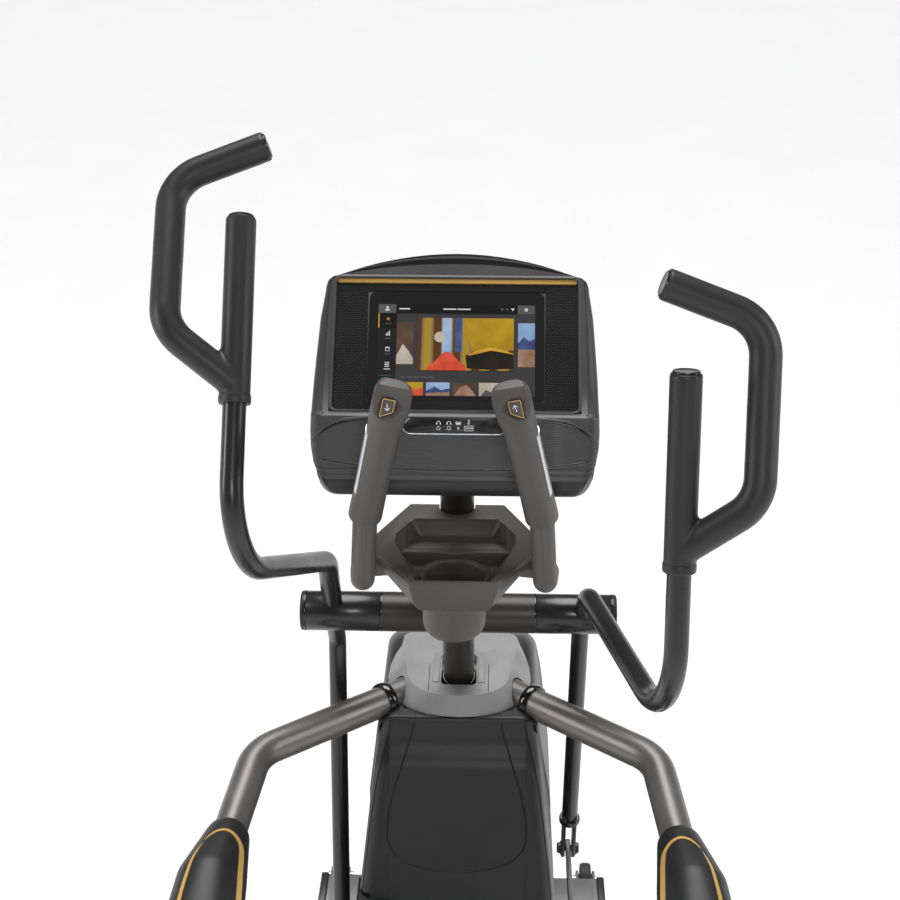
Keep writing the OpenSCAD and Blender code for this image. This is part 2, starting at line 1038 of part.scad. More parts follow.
module screen() {
  color([0.02, 0.02, 0.03])
    console_frame()
      linear_extrude(4)
        translate(-glass / 2)
          rounded(glass[0], glass[1], 9);
}

module port_panel() {
  color(black)
    console_frame()
      translate([0, -118, 9])
        rotate([30, 0, 0])
          difference() {
            box([-73.6, -11.6, -4], [73.6, 11.6, 1]);
            for (x = [-22, -8])
              translate([x, -2, -3])
                cylinder(h = 10, r = 1.8);
            box([14, -5, -3], [26, 1, 10]);
          }
}

// ---------- tray and pulse grips ----------

module tray_outline(in) {
  polygon([
    [-72 + in, 262 - in], [72 - in, 262 - in], [117 - in, 165], [117 - in, 112],
    [60 - in, 20 + in], [-60 + in, 20 + in], [-117 + in, 112], [-117 + in, 165]
  ]);
}

module accessory_tray() {
  color(warm_grey)
    difference() {
      union() {
        translate([0, 0, tray_low])
          linear_extrude(tray_top - tray_low)
            tray_outline(0);
        translate([0, cup_y, 1068])
          cylinder(h = 70, r = 45.5);
      }
      translate([0, 0, tray_top - 26])
        linear_extrude(60)
          intersection() {
            tray_outline(9);
            translate([-130, 20])
              square([260, 76]);
          }
      translate([-75, 131, tray_top - 34])
        linear_extrude(60)
          rounded(150, 76, 14);
      translate([0, cup_y, 1072])
        cylinder(h = 200, r = 41.5);
      rod(mast_at(60), mast_at(400), mast_r);
      both_sides()
        rod(pulse_path[0], pulse_path[1], 17);
    }
}

pulse_end = pulse_low + 170 * unit(pulse_high - pulse_low);
pulse_path = [[82, 128, 1150], [133, 118, 1150], [127, 48, 1164], pulse_low, pulse_end];

module pulse_bar() {
  color(warm_grey)
    both_sides()
      bent_pipe(pulse_path, 21, 17, 17 - wall);
}

pulse_axis = unit(pulse_high - pulse_low);
pulse_len = norm(pulse_high - pulse_low);
// Frame of a pulse grip: +Z up its axis, -Y toward the user
module on_pulse(s) {
  side = unit(cross([0, 1, 0], pulse_axis));
  mirrored(s)
    frame_at(pulse_low, side, cross(pulse_axis, side), pulse_axis)
      children();
}

plate_from = 52;
plate_to = 168;
module plate_zone(r0, r1) {
  for (a = [12, 120])
    rotate([0, 0, a - 48])
      translate([0, 0, plate_from])
        rotate_extrude(angle = 96)
          translate([r0, 0])
            square([r1 - r0, plate_to - plate_from]);
}

button_tilt = 38;
module on_button() {
  translate([0, -15, pulse_len - 20])
    rotate([90 - button_tilt, 0, 0])
      children();
}

module pulse_grips() {
  color(warm_grey)
    for (s = [LEFT, RIGHT])
      on_pulse(s)
        difference() {
          union() {
            cylinder(h = pulse_len - pulse_r, r = pulse_r);
            translate([0, 0, pulse_len - pulse_r])
              sphere(r = pulse_r);
            cylinder(h = 14, r = pulse_r + 1.5);
          }
          translate([0, 0, -1])
            cylinder(h = 171.5, r = 17 + fit);
          translate([0, 0, -1])
            cylinder(h = 8, r = 18);
          plate_zone(pulse_r - 1, pulse_r + 5);
          on_button() {
            translate([-40, -40, 0])
              cube([80, 80, 40]);
            translate([-9.5, -13, -6])
              cube([19, 26, 10]);
          }
        }
}

module sensor_plates() {
  color(steel)
    for (s = [LEFT, RIGHT])
      on_pulse(s)
        plate_zone(pulse_r - 1, pulse_r + 0.4);
}

module button(s) {
  color(black)
    on_pulse(s)
      on_button()
        translate([-9.2, -12.7, -4])
          linear_extrude(5.6)
            rounded(18.4, 25.4, 3);
}

main_frame();
front_stabilizer();
rear_stabilizer();
stabilizer_caps();
levelling_foot(LEFT);  // left_levelling_foot
levelling_foot(RIGHT);  // right_levelling_foot
transport_wheel(LEFT);  // left_transport_wheel
transport_wheel(RIGHT);  // right_transport_wheel
wheel_bolts();
lower_mast();
upper_mast();
pivot_crossbar();
pivot_axle();
pivot_bushings();
axle_end_caps();
handlebar(LEFT);  // left_handlebar
handlebar(RIGHT);  // right_handlebar
grip(LEFT);  // left_grip
grip(RIGHT);  // right_grip
clevis_bolt(LEFT);  // left_clevis_pin
clevis_bolt(RIGHT);  // right_clevis_pin
handle_link(LEFT);  // left_handle_link
handle_link(RIGHT);  // right_handle_link
suspension_arm(LEFT);  // left_suspension_arm
suspension_arm(RIGHT);  // right_suspension_arm
arm_covers();
cover_trims();
swing_axles();
swing_arm(LEFT);  // left_swing_arm
swing_arm(RIGHT);  // right_swing_arm
foot_link(LEFT);  // left_foot_link
foot_link(RIGHT);  // right_foot_link
pedal(LEFT);  // left_pedal
pedal(RIGHT);  // right_pedal
pedal_mat(LEFT);  // left_pedal_mat
pedal_mat(RIGHT);  // right_pedal_mat
crank_axle();
crank(LEFT);  // left_crank
crank(RIGHT);  // right_crank
crank_pulley();
crank_bearings();
flywheel();
flywheel_axle();
drive_belt();
side_shroud(LEFT);  // left_shroud
side_shroud(RIGHT);  // right_shroud
rear_panel();
top_cap();
console_back();
console_front();
screen();
port_panel();
accessory_tray();
pulse_bar();
pulse_grips();
sensor_plates();
button(LEFT);  // left_button
button(RIGHT);  // right_button
power_inlet();
power_switch();
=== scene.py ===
# Looks of the elliptical trainer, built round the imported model. Lengths in the code are millimetres
# unless a matrix is given, and every matrix here turns them into metres.
import json
import math

import bmesh
import bpy
from mathutils import Matrix, Vector
from mathutils.bvhtree import BVHTree


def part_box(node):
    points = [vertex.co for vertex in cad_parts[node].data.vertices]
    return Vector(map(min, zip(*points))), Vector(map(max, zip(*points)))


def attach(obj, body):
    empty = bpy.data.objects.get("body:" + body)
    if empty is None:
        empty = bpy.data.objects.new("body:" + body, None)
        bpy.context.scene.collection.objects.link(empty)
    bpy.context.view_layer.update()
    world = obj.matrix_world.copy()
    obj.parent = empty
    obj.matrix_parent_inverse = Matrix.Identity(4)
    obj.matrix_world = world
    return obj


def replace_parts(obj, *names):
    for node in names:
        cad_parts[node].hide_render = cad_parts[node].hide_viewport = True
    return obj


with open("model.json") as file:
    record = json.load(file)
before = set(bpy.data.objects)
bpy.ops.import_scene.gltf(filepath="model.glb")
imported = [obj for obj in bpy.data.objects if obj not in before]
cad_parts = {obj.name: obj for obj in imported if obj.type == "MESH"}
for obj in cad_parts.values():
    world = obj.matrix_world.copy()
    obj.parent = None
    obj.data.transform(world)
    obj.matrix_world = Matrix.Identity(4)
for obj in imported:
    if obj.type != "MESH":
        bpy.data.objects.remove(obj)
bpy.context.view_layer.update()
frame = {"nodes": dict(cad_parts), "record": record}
nodes = frame["nodes"]
SLOT = {p["node"]: p["material_slot"] for p in frame["record"]["subparts"]}
scene = bpy.context.scene
SIDES = (("left", -1), ("right", 1))
MM = Matrix.Scale(0.001, 4)
MIRROR = {-1: Matrix.Scale(-1, 4, (1, 0, 0)), 1: Matrix.Identity(4)}


# ---------- camera and light ----------

camera = bpy.data.objects.new("camera", bpy.data.cameras.new("camera"))
scene.collection.objects.link(camera)
camera.data.lens = 70.56
camera.data.sensor_width = 36
camera.data.clip_end = 600
camera.location = (0.0548, -2.1007, 2.3693)
camera.rotation_euler = (math.radians(65), 0, math.radians(1.6))
scene.camera = camera
scene.view_settings.view_transform = "Standard"


def sun(name, toward, strength, angle):
    lamp = bpy.data.objects.new(name, bpy.data.lights.new(name, "SUN"))
    lamp.data.energy = strength
    lamp.data.angle = math.radians(angle)
    lamp.rotation_euler = Vector(toward).to_track_quat("-Z", "Y").to_euler()
    scene.collection.objects.link(lamp)


def softbox(name, place, target, width, height, power):
    lamp = bpy.data.objects.new(name, bpy.data.lights.new(name, "AREA"))
    lamp.data.shape = "RECTANGLE"
    lamp.data.size = width
    lamp.data.size_y = height
    lamp.data.energy = power
    lamp.location = place
    lamp.rotation_euler = (Vector(target) - Vector(place)).to_track_quat("-Z", "Y").to_euler()
    scene.collection.objects.link(lamp)


sun("sky_panel", (0.03, -0.34, -1), 2.95, 44)
softbox("front_panel", (0.6, -4.2, 3.6), (0, 0.2, 1.1), 1.1, 1.3, 48)
softbox("left_panel", (-3.6, -0.6, 2.6), (0, 0.2, 1.0), 0.6, 2.4, 46)
softbox("right_panel", (3.6, -0.4, 2.6), (0, 0.2, 1.0), 0.6, 2.4, 40)

world = bpy.data.worlds.new("studio")
scene.world = world
world.use_nodes = True
wn, wl = world.node_tree.nodes, world.node_tree.links
sky = wn["Background"]
sky.inputs["Strength"].default_value = 1.0
where = wn.new("ShaderNodeTexCoord")
split = wn.new("ShaderNodeSeparateXYZ")
wl.new(where.outputs["Generated"], split.inputs[0])
ramp = wn.new("ShaderNodeValToRGB")
ramp.color_ramp.elements[0].position = 0.0
ramp.color_ramp.elements[0].color = (0.86, 0.86, 0.86, 1)
ramp.color_ramp.elements[1].position = 0.9
ramp.color_ramp.elements[1].color = (0.22, 0.22, 0.222, 1)
# Pale at the horizon, where the floor ends, and darker above it
for height, grey in ((0.03, 0.84), (0.07, 0.18), (0.22, 0.10)):
    ramp.color_ramp.elements.new(height).color = (grey, grey, grey * 1.01, 1)
wl.new(split.outputs["Z"], ramp.inputs["Fac"])
wl.new(ramp.outputs["Color"], sky.inputs["Color"])


# ---------- materials ----------

def shade(c, k):
    return (min(c[0] * k, 1), min(c[1] * k, 1), min(c[2] * k, 1), 1)


def node(tree, kind, **values):
    n = tree.nodes.new(kind)
    for key, value in values.items():
        n.inputs[key.replace("_", " ")].default_value = value
    return n


def ramp_of(tree, source, stops):
    r = tree.nodes.new("ShaderNodeValToRGB")
    while len(r.color_ramp.elements) < len(stops):
        r.color_ramp.elements.new(0.5)
    for e, (place, colour) in zip(r.color_ramp.elements, stops):
        e.position = place
        e.color = colour
    tree.links.new(source, r.inputs["Fac"])
    return r.outputs["Color"]


def material(name, base, rough, metal=0.0, mottle=0.1, cloud=9.0, grain=1400.0, bump=0.25,
             depth=0.0002, vary=0.06, stretch=(1, 1, 1), coat=0.0, sheen=0.0, edge=0.0):
    """A finish with a slow colour drift, a fine grain in height and gloss, and paler edges if asked: partly
    edge wear, partly a painted highlight.
    """
    m = bpy.data.materials.new(name)
    m.use_nodes = True
    tree = m.node_tree
    link = tree.links.new
    bsdf = tree.nodes["Principled BSDF"]
    bsdf.inputs["Metallic"].default_value = metal
    bsdf.inputs["Coat Weight"].default_value = coat
    bsdf.inputs["Coat Roughness"].default_value = 0.12
    bsdf.inputs["Sheen Weight"].default_value = sheen
    coords = tree.nodes.new("ShaderNodeTexCoord")
    place = node(tree, "ShaderNodeMapping", Scale=stretch)
    link(coords.outputs["Object"], place.inputs["Vector"])
    slow = node(tree, "ShaderNodeTexNoise", Scale=cloud, Detail=4.0)
    fine = node(tree, "ShaderNodeTexNoise", Scale=grain, Detail=3.0)
    for n in (slow, fine):
        link(place.outputs["Vector"], n.inputs["Vector"])
    colour = ramp_of(tree, slow.outputs["Fac"],
                     [(0.3, shade(base, 1 - mottle)), (0.7, shade(base, 1 + mottle))])
    speck = tree.nodes.new("ShaderNodeMix")
    speck.data_type = "RGBA"
    speck.blend_type = "MULTIPLY"
    speck.inputs["Factor"].default_value = 1.0
    link(colour, speck.inputs["A"])
    link(ramp_of(tree, fine.outputs["Fac"], [(0.3, (0.86, 0.86, 0.86, 1)), (0.7, (1.1, 1.1, 1.1, 1))]),
         speck.inputs["B"])
    colour = speck.outputs["Result"]
    # Paler colour on sharp edges, found by pointiness: partly edge wear, partly a painted highlight along the
    # edges
    if edge:
        shape = tree.nodes.new("ShaderNodeNewGeometry")
        edge_wear_and_highlight = tree.nodes.new("ShaderNodeMapRange")
        edge_wear_and_highlight.inputs["From Min"].default_value = 0.53
        edge_wear_and_highlight.inputs["From Max"].default_value = 0.62
        edge_wear_and_highlight.inputs["To Max"].default_value = edge
        link(shape.outputs["Pointiness"], edge_wear_and_highlight.inputs["Value"])
        mix = tree.nodes.new("ShaderNodeMix")
        mix.data_type = "RGBA"
        link(edge_wear_and_highlight.outputs["Result"], mix.inputs["Factor"])
        link(colour, mix.inputs["A"])
        mix.inputs["B"].default_value = shade((base[0] + 0.04, base[1] + 0.04, base[2] + 0.04), 1.5)
        colour = mix.outputs["Result"]
    link(colour, bsdf.inputs["Base Color"])
    gloss = tree.nodes.new("ShaderNodeMapRange")
    gloss.inputs["From Min"].default_value = 0.3
    gloss.inputs["From Max"].default_value = 0.7
    gloss.inputs["To Min"].default_value = max(rough - vary, 0.02)
    gloss.inputs["To Max"].default_value = rough + vary
    link(slow.outputs["Fac"], gloss.inputs["Value"])
    link(gloss.outputs["Result"], bsdf.inputs["Roughness"])
    relief = node(tree, "ShaderNodeBump", Strength=bump, Distance=depth)
    link(fine.outputs["Fac"], relief.inputs["Height"])
    link(relief.outputs["Normal"], bsdf.inputs["Normal"])
    return m


foam = material("grip_foam", (0.013, 0.013, 0.0135), 0.44, grain=2600, bump=0.35, sheen=0.06, vary=0.04)
black_paint = material("black_tube_paint", (0.012, 0.012, 0.0125), 0.30, grain=500, bump=0.1, coat=0.15)
graphite = material("graphite_tube_paint", (0.034, 0.0315, 0.030), 0.36, metal=0.35, grain=1800, bump=0.12)
taupe_paint = material("taupe_tube_paint", (0.19, 0.178, 0.17), 0.36, metal=0.55, grain=1800, bump=0.12)
taupe = material("taupe_plastic", (0.079, 0.068, 0.065), 0.50, grain=1500, bump=0.5, edge=0.25)
charcoal = material("charcoal_plastic", (0.052, 0.052, 0.054), 0.40, grain=1700, bump=0.4, edge=0.25)
deep_black = material("black_plastic", (0.010, 0.010, 0.0105), 0.42, grain=1500, bump=0.4)
shroud_black = material("shroud_plastic", (0.0125, 0.0125, 0.013), 0.43, grain=1300, bump=0.55, edge=0.1)
gloss_black = material("gloss_black", (0.006, 0.006, 0.0065), 0.10, grain=300, bump=0.02, vary=0.02, coat=0.5)
cap_grey = material("cap_grey_plastic", (0.27, 0.27, 0.272), 0.47, grain=1300, bump=0.5, mottle=0.05,
                    edge=0.15)
steel = material("brushed_steel", (0.62, 0.63, 0.65), 0.30, metal=1.0, stretch=(6, 6, 0.4), grain=900,
                 bump=0.05, mottle=0.03, vary=0.03)
plated = material("zinc_plate", (0.50, 0.50, 0.49), 0.34, metal=1.0, cloud=60, mottle=0.15, bump=0.15)
grey_metal = material("grey_steel_paint", (0.17, 0.17, 0.172), 0.42, metal=0.3, grain=1500, bump=0.3)
gold = material("gold_paint", (0.70, 0.43, 0.115), 0.38, metal=0.25, grain=1200, bump=0.15, mottle=0.06)
bronze = material("bronze_bushing", (0.45, 0.28, 0.12), 0.42, metal=1.0, cloud=70, bump=0.3)
tyre = material("wheel_rubber", (0.016, 0.016, 0.0165), 0.62, grain=1600, bump=0.7, mottle=0.18)
gloss_black_soft = material("black_satin_panel", (0.008, 0.008, 0.0085), 0.26, grain=900, bump=0.1, vary=0.04)
mesh_grey = material("mesh_studs", (0.022, 0.022, 0.023), 0.40, grain=900, bump=0.2)
dark_bolt = material("black_oxide_steel", (0.05, 0.05, 0.052), 0.32, metal=0.8, cloud=60, bump=0.15)
white_ink = material("white_ink", (0.82, 0.82, 0.82), 0.5, bump=0.05, mottle=0.03)


# ---------- mesh tools ----------

def smooth(mesh, angle=32):
    mesh.shade_smooth()
    mesh.set_sharp_from_angle(angle=math.radians(angle))


def apply(obj):
    """Replaces the object's mesh by what its modifiers make of it."""
    seen = obj.evaluated_get(bpy.context.evaluated_depsgraph_get())
    mesh = bpy.data.meshes.new_from_object(seen)
    obj.modifiers.clear()
    obj.data = mesh
    return obj


class Build:
    """Gathers vertices and faces, with a material number for each face, then makes one object."""

    def __init__(self, matrix=None):
        self.v, self.f, self.m, self.matrix = [], [], [], matrix

    def add(self, verts, faces, mat=0, matrix=None):
        first = len(self.v)
        for v in verts:
            v = Vector(v)
            if matrix:
                v = matrix @ v
            self.v.append(self.matrix @ v if self.matrix else v)
        self.f += [tuple(i + first for i in f) for f in faces]
        self.m += mat if isinstance(mat, list) else [mat] * len(faces)
        return self

    def prism(self, outline, z0, z1, mat=0, matrix=None):
        n = len(outline)
        verts = [(x, y, z0) for x, y in outline] + [(x, y, z1) for x, y in outline]
        faces = [tuple(reversed(range(n))), tuple(range(n, 2 * n))]
        faces += [(i, (i + 1) % n, n + (i + 1) % n, n + i) for i in range(n)]
        return self.add(verts, faces, mat, matrix)

    def loft(self, sections, mat=0, caps=True, matrix=None):
        n = len(sections[0])
        verts = [p for s in sections for p in s]
        faces = [(k * n + i, k * n + (i + 1) % n, (k + 1) * n + (i + 1) % n, (k + 1) * n + i)
                 for k in range(len(sections) - 1) for i in range(n)]
        if caps:
            faces += [tuple(reversed(range(n))), tuple(range(len(verts) - n, len(verts)))]
        return self.add(verts, faces, mat, matrix)

    def tube(self, path, radius, mat=0, segs=24, ends=0.0, matrix=None):
        """Round bar along the path; ends rounds its two ends off by that much."""
        path = [Vector(p) for p in path]
        rr = list(radius) if isinstance(radius, (list, tuple)) else [radius] * len(path)
        if ends:
            cuts = [(1 - math.sin(math.radians(a)), 1 - math.cos(math.radians(a))) for a in (0, 30, 60, 90)]
            head, tail = (path[1] - path[0]).normalized(), (path[-2] - path[-1]).normalized()
            start = [(path[0] + head * ends * b, rr[0] - ends * a) for a, b in cuts]
            stop = [(path[-1] + tail * ends * b, rr[-1] - ends * a) for a, b in cuts]
            both = start + list(zip(path[1:-1], rr[1:-1])) + stop[::-1]
            path, rr = [p for p, r in both], [r for p, r in both]
        side = (path[1] - path[0]).orthogonal().normalized()
        rings = []
        for i, p in enumerate(path):
            ahead = (path[min(i + 1, len(path) - 1)] - path[max(i - 1, 0)]).normalized()
            side = (side - ahead * side.dot(ahead)).normalized()
            up = ahead.cross(side)
            rings.append([p + (side * math.cos(t) + up * math.sin(t)) * rr[i]
                          for t in (2 * math.pi * k / segs for k in range(segs))])
        return self.loft(rings, mat, True, matrix)

    def make(self, name, mats, body, slot=None, angle=32, bevel=0.0, segments=2, shell=0.0, sub=0,
             replaces=()):
        mesh = bpy.data.meshes.new(name)
        if self.matrix and self.matrix.determinant() < 0:
            self.f = [f[::-1] for f in self.f]
        mesh.from_pydata([v * 0.001 for v in self.v], [], self.f)
        for m in mats:
            mesh.materials.append(m)
        mesh.polygons.foreach_set("material_index", self.m)
        mesh.validate()
        mesh.update()
        obj = bpy.data.objects.new(name, mesh)
        scene.collection.objects.link(obj)
        if shell:
            mod = obj.modifiers.new("shell", "SOLIDIFY")
            mod.thickness = shell * 0.001
            mod.offset = -1
        if bevel:
            mod = obj.modifiers.new("bevel", "BEVEL")
            mod.width = bevel * 0.001
            mod.segments = segments
            mod.limit_method = "ANGLE"
            mod.angle_limit = math.radians(28)
        if sub:
            mod = obj.modifiers.new("subdivision", "SUBSURF")
            mod.levels = mod.render_levels = sub
        if shell or bevel or sub:
            apply(obj)
        smooth(obj.data, angle)
        if body:
            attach(obj, body)
        if replaces:
            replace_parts(obj, *replaces)
        return obj


def boolean(obj, other, operation="DIFFERENCE"):
    mod = obj.modifiers.new("cut", "BOOLEAN")
    mod.operation = operation
    mod.solver = "EXACT"
    mod.object = other
    apply(obj)
    bpy.data.objects.remove(other)
    return obj


def finish_edges(obj, width, segments=2, angle=32, limit=28):
    mod = obj.modifiers.new("bevel", "BEVEL")
    mod.width = width * 0.001
    mod.segments = segments
    mod.limit_method = "ANGLE"
    mod.angle_limit = math.radians(limit)
    apply(obj)
    smooth(obj.data, angle)
    return obj


def bend(points, radius, steps=10):
    """The corner points as a path with each inner corner rounded to the radius, or to its own."""
    pts = [Vector(p) for p in points]
    radii = radius if isinstance(radius, list) else [radius] * len(pts)
    out = [pts[0]]
    for a, b, c, r in zip(pts, pts[1:], pts[2:], radii[1:]):
        u, v = (a - b).normalized(), (c - b).normalized()
        half = math.acos(max(-1, min(1, u.dot(v)))) / 2
        centre = b + (u + v).normalized() * r / math.sin(half)
        start = b + u * r / math.tan(half)
        spoke, axis = start - centre, u.cross(v)
        total = math.pi - 2 * half
        for k in range(steps + 1):
            out.append(centre + Matrix.Rotation(-total * k / steps, 3, axis) @ spoke)
    out.append(pts[-1])
    return out


def rounded(x0, y0, x1, y1, r, steps=5):
    out = []
    for cx, cy, a in ((x1 - r, y1 - r, 0), (x0 + r, y1 - r, 90), (x0 + r, y0 + r, 180),
                      (x1 - r, y0 + r, 270)):
        for k in range(steps + 1):
            t = math.radians(a + 90 * k / steps)
            out.append((cx + r * math.cos(t), cy + r * math.sin(t)))
    return out


def circle(cx, cy, r, n=28):
    return [(cx + r * math.cos(2 * math.pi * k / n),
             cy + r * math.sin(2 * math.pi * k / n)) for k in range(n)]


def soften(points, r, steps=4):
    """A closed outline with each corner rounded."""
    out, n = [], len(points)
    for i in range(n):
        a, b, c = (Vector(points[(i + k) % n]) for k in (-1, 0, 1))
        u, v = a - b, c - b
        cut = min(r, u.length * 0.45, v.length * 0.45)
        p, q = b + u.normalized() * cut, b + v.normalized() * cut
        for k in range(steps + 1):
            t = k / steps
            out.append(tuple(p * (1 - t) ** 2 + b * 2 * t * (1 - t) + q * t * t))
    return out


def hex_head(x, y, z, r, h):
    """Vertices and faces of a bolt head with a domed top and a socket, its base at z."""
    rings = [(r, z), (r, z + h * 0.75), (r * 0.86, z + h), (r * 0.5, z + h), (r * 0.48, z + h * 0.4)]
    n = 24
    verts = [(x + q * math.cos(2 * math.pi * k / n), y + q * math.sin(2 * math.pi * k / n), w)
             for q, w in rings for k in range(n)]
    faces = [(i * n + k, i * n + (k + 1) % n, (i + 1) * n + (k + 1) % n, (i + 1) * n + k)
             for i in range(len(rings) - 1) for k in range(n)]
    return verts, faces + [tuple(reversed(range(n))), tuple(range(4 * n, 5 * n))]


def lerp_table(table, x):
    if x <= table[0][0]:
        return table[0][1]
    for (a, p), (b, q) in zip(table, table[1:]):
        if x <= b:
            return p + (q - p) * (x - a) / (b - a)
    return table[-1][1]


def paint(finish, *names):
    for name in names:
        mesh = nodes[name].data
        mesh.materials.clear()
        mesh.materials.append(finish)


# ---------- finishes of the CAD nodes that stay ----------

paint(graphite, "lower_mast", "upper_mast", "pivot_crossbar")
paint(taupe_paint, "left_suspension_arm", "right_suspension_arm")
paint(black_paint, "left_handlebar", "right_handlebar", "main_frame", "left_foot_link", "right_foot_link",
      "rear_stabilizer", "left_crank", "right_crank")
paint(taupe_paint, "left_swing_arm", "right_swing_arm")
paint(taupe, "pulse_bar")
paint(grey_metal, "left_handle_link", "right_handle_link", "front_stabilizer")
paint(steel, "flywheel", "flywheel_axle", "crank_axle", "pivot_axle", "sensor_plates")
paint(plated, "swing_axles", "wheel_bolts", "crank_bearings")
paint(bronze, "pivot_bushings")
paint(plated, "left_clevis_pin", "right_clevis_pin")
paint(deep_black, "left_pedal", "right_pedal")
paint(tyre, "drive_belt", "left_levelling_foot", "right_levelling_foot")
paint(gloss_black, "screen")
paint(deep_black, "crank_pulley", "stabilizer_caps", "power_inlet", "power_switch")


# ---------- console ----------

RAKE = math.radians(45.6)
low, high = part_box("screen")
face_normal = Vector((0, -math.sin(RAKE), math.cos(RAKE)))
screen_centre = (low + high) / 2 - face_normal * 0.002
CONSOLE = MM.inverted() @ Matrix.Translation(screen_centre) @ Matrix.Rotation(RAKE, 4, "X") @ MM

WIDTHS = [(-205, 166), (-198, 177), (-188, 186), (-170, 193), (-150, 196.5), (-130, 197.4), (-60, 195.5),
          (0, 192.5), (60, 189), (90, 186), (108, 182), (120, 176), (132, 166), (142, 153)]


def arc_drop(x):
    return 382 - math.sqrt(382 ** 2 - min(abs(x), 200) ** 2)


def console_point(x, s, n, inward=0.0):
    """A profile point carried out to x, with the sides rounded off and the top following its arc."""
    over = min(max((s - 104) / 38, 0), 1.1)
    s = s - arc_drop(x) * over
    edge = 18.0
    half = lerp_table(WIDTHS, s)
    t = max(0.0, min(1.0, (abs(x) - (half - edge)) / edge))
    pull = 1 - math.sqrt(max(0.0, 1 - t * t))
    k_n = 1 - (14 * pull + inward) / 50
    k_s = 1 - (14 * pull + inward) / 170
    return Vector((math.copysign(min(abs(x), half), x), -26 + (s + 26) * k_s, -40 + (n + 40) * k_n))


def chin(t, lift=0.0):
    """Point on the sloping chin, t down it from its upper edge."""
    return -108 - 0.863 * t - 0.505 * lift, 15 - 0.505 * t + 0.863 * lift


rows = [("top", 142, -2, 0), ("top", 141, 4, 0), ("top", 138.6, 8.2, 0), ("groove", 137.8, 7.6, 0),
        ("groove", 135.2, 8.6, 0), ("face", 134.4, 10, 0),
        ("face", 131.4, 10, 0), ("strip", 131, 9, 0), ("strip", 122.6, 9, 0), ("face", 122.2, 10, 0),
        ("face", 112, 10, 0), ("face", 104.4, 10, 0)]
rows += [("well", s, 3, 0) for s in (104, 50, 0, -50, -99.4)]
rows += [("face", -99.8, 10.2, 0), ("face", -103, 12.4, 0), ("chin", -106.5, 14.8, 0), ("chin", -108, 15, 0)]
for k in range(26):
    t = 5 + 2.5 * k
    rows += [("rib", *chin(t), 0.0), ("rib", *chin(t + 0.7), 0.45), ("rib", *chin(t + 1.5), 0.45)]
rows += [("lip", *chin(72), 0), ("groove", *chin(72.6), -1.4), ("groove", *chin(74), -1.4),
         ("lip", *chin(74.6), 0),
         ("lip", *chin(77.5), 0.5), ("lip", *chin(80.4), 0), ("groove", *chin(81), -1.4),
         ("groove", *chin(82.2), -1.4), ("lip", *chin(82.8), 0), ("lip", -184, -28.6, 0),
         ("under", -190.5, -35, 0),
         ("under", -195, -43.5, 0), ("under", -196.8, -51, 0), ("under", -195.5, -60, 0),
         ("under", -190, -73, 0),
         ("under", -184, -79, 0), ("under", -172, -82, 0), ("under", -140, -88.3, 0), ("back", -128, -89, 0)]
rows += [("back", s, -89, 0) for s in (-60, 0, 24)] + [("back", 34, -88.4, 0), ("back", 74, -78.4, 0)]
rows += [("back", 82, -75.6, 0), ("back", 128, -50, 0), ("back", 133, -44.6, 0), ("back", 137, -31, 0),
         ("seam", 139.0, -15.2, 0), ("seam", 139.2, -14.2, 0), ("top", 140.6, -9, 0)]

inner = [0, 20, 40, 60, 80, 100, 116, 130, 142, 152, 160, 166, 171.6]
outer = [0.0, 0.16, 0.34, 0.38, 0.44, 0.48, 0.6, 0.72, 0.82, 0.9, 0.96, 0.985, 1.0]
columns = [-x for x in reversed(inner[1:])]
columns = [("out", -f) for f in reversed(outer)] + [("in", x) for x in columns] + [("in", x) for x in inner]
columns += [("out", f) for f in outer]


def housing_x(kind, value, s):
    half = lerp_table(WIDTHS, s - arc_drop(170) * min(max((s - 104) / 38, 0), 1.1))
    edge = min(172.0, half - 6)
    if kind == "in":
        return value * edge / 171.6 if edge < 171.6 else value
    return math.copysign(edge + (half - edge) * abs(value), value)


verts, n_cols = [], len(columns)
for kind, s, n, lift in rows:
    for col, value in columns:
        x = housing_x(col, value, s)
        dn, inward = n, 0.0
        if kind == "well" and col == "out":
            dn = 10
        if kind == "rib":
            fade = max(0.0, min(1.0, (150 - abs(x)) / 6))
            ds, dn = -0.505 * lift * fade, n + 0.863 * lift * fade
            verts.append(console_point(x, s + ds, dn))
            continue
        if kind == "groove":
            inward = 1.2
        if kind == "strip":
            dn = 9 if abs(x) < 165 else 10
        if col == "out" and 0.36 < abs(value) < 0.46 and kind not in ("strip", "well"):
            inward = max(inward, 1.1)
        if col == "out" and kind == "well" and 0.36 < abs(value) < 0.46:
            inward = 1.1
        verts.append(console_point(x, s, dn, inward))
faces, finishes = [], []
n_rows = len(rows)
for i in range(n_rows):
    k = (i + 1) % n_rows
    for j in range(n_cols - 1):
        faces.append((i * n_cols + j, i * n_cols + j + 1, k * n_cols + j + 1, k * n_cols + j))
        kinds = (rows[i][0], rows[k][0])
        mid = abs(j + 0.5 - (n_cols - 1) / 2)
        if kinds == ("strip", "strip"):
            finishes.append(1)
        elif "groove" in kinds and kinds[0] == kinds[1] or rows[i][0] == "seam" and rows[k][0] == "seam":
            finishes.append(2)
        elif rows[i][0] in ("under",) or rows[k][0] == "under":
            finishes.append(2)
        elif kinds == ("well", "well") and mid < 13:
            finishes.append(2)
        else:
            finishes.append(0)
split_row = next(i for i, r in enumerate(rows) if r[0] == "under" and r[2] < -45)
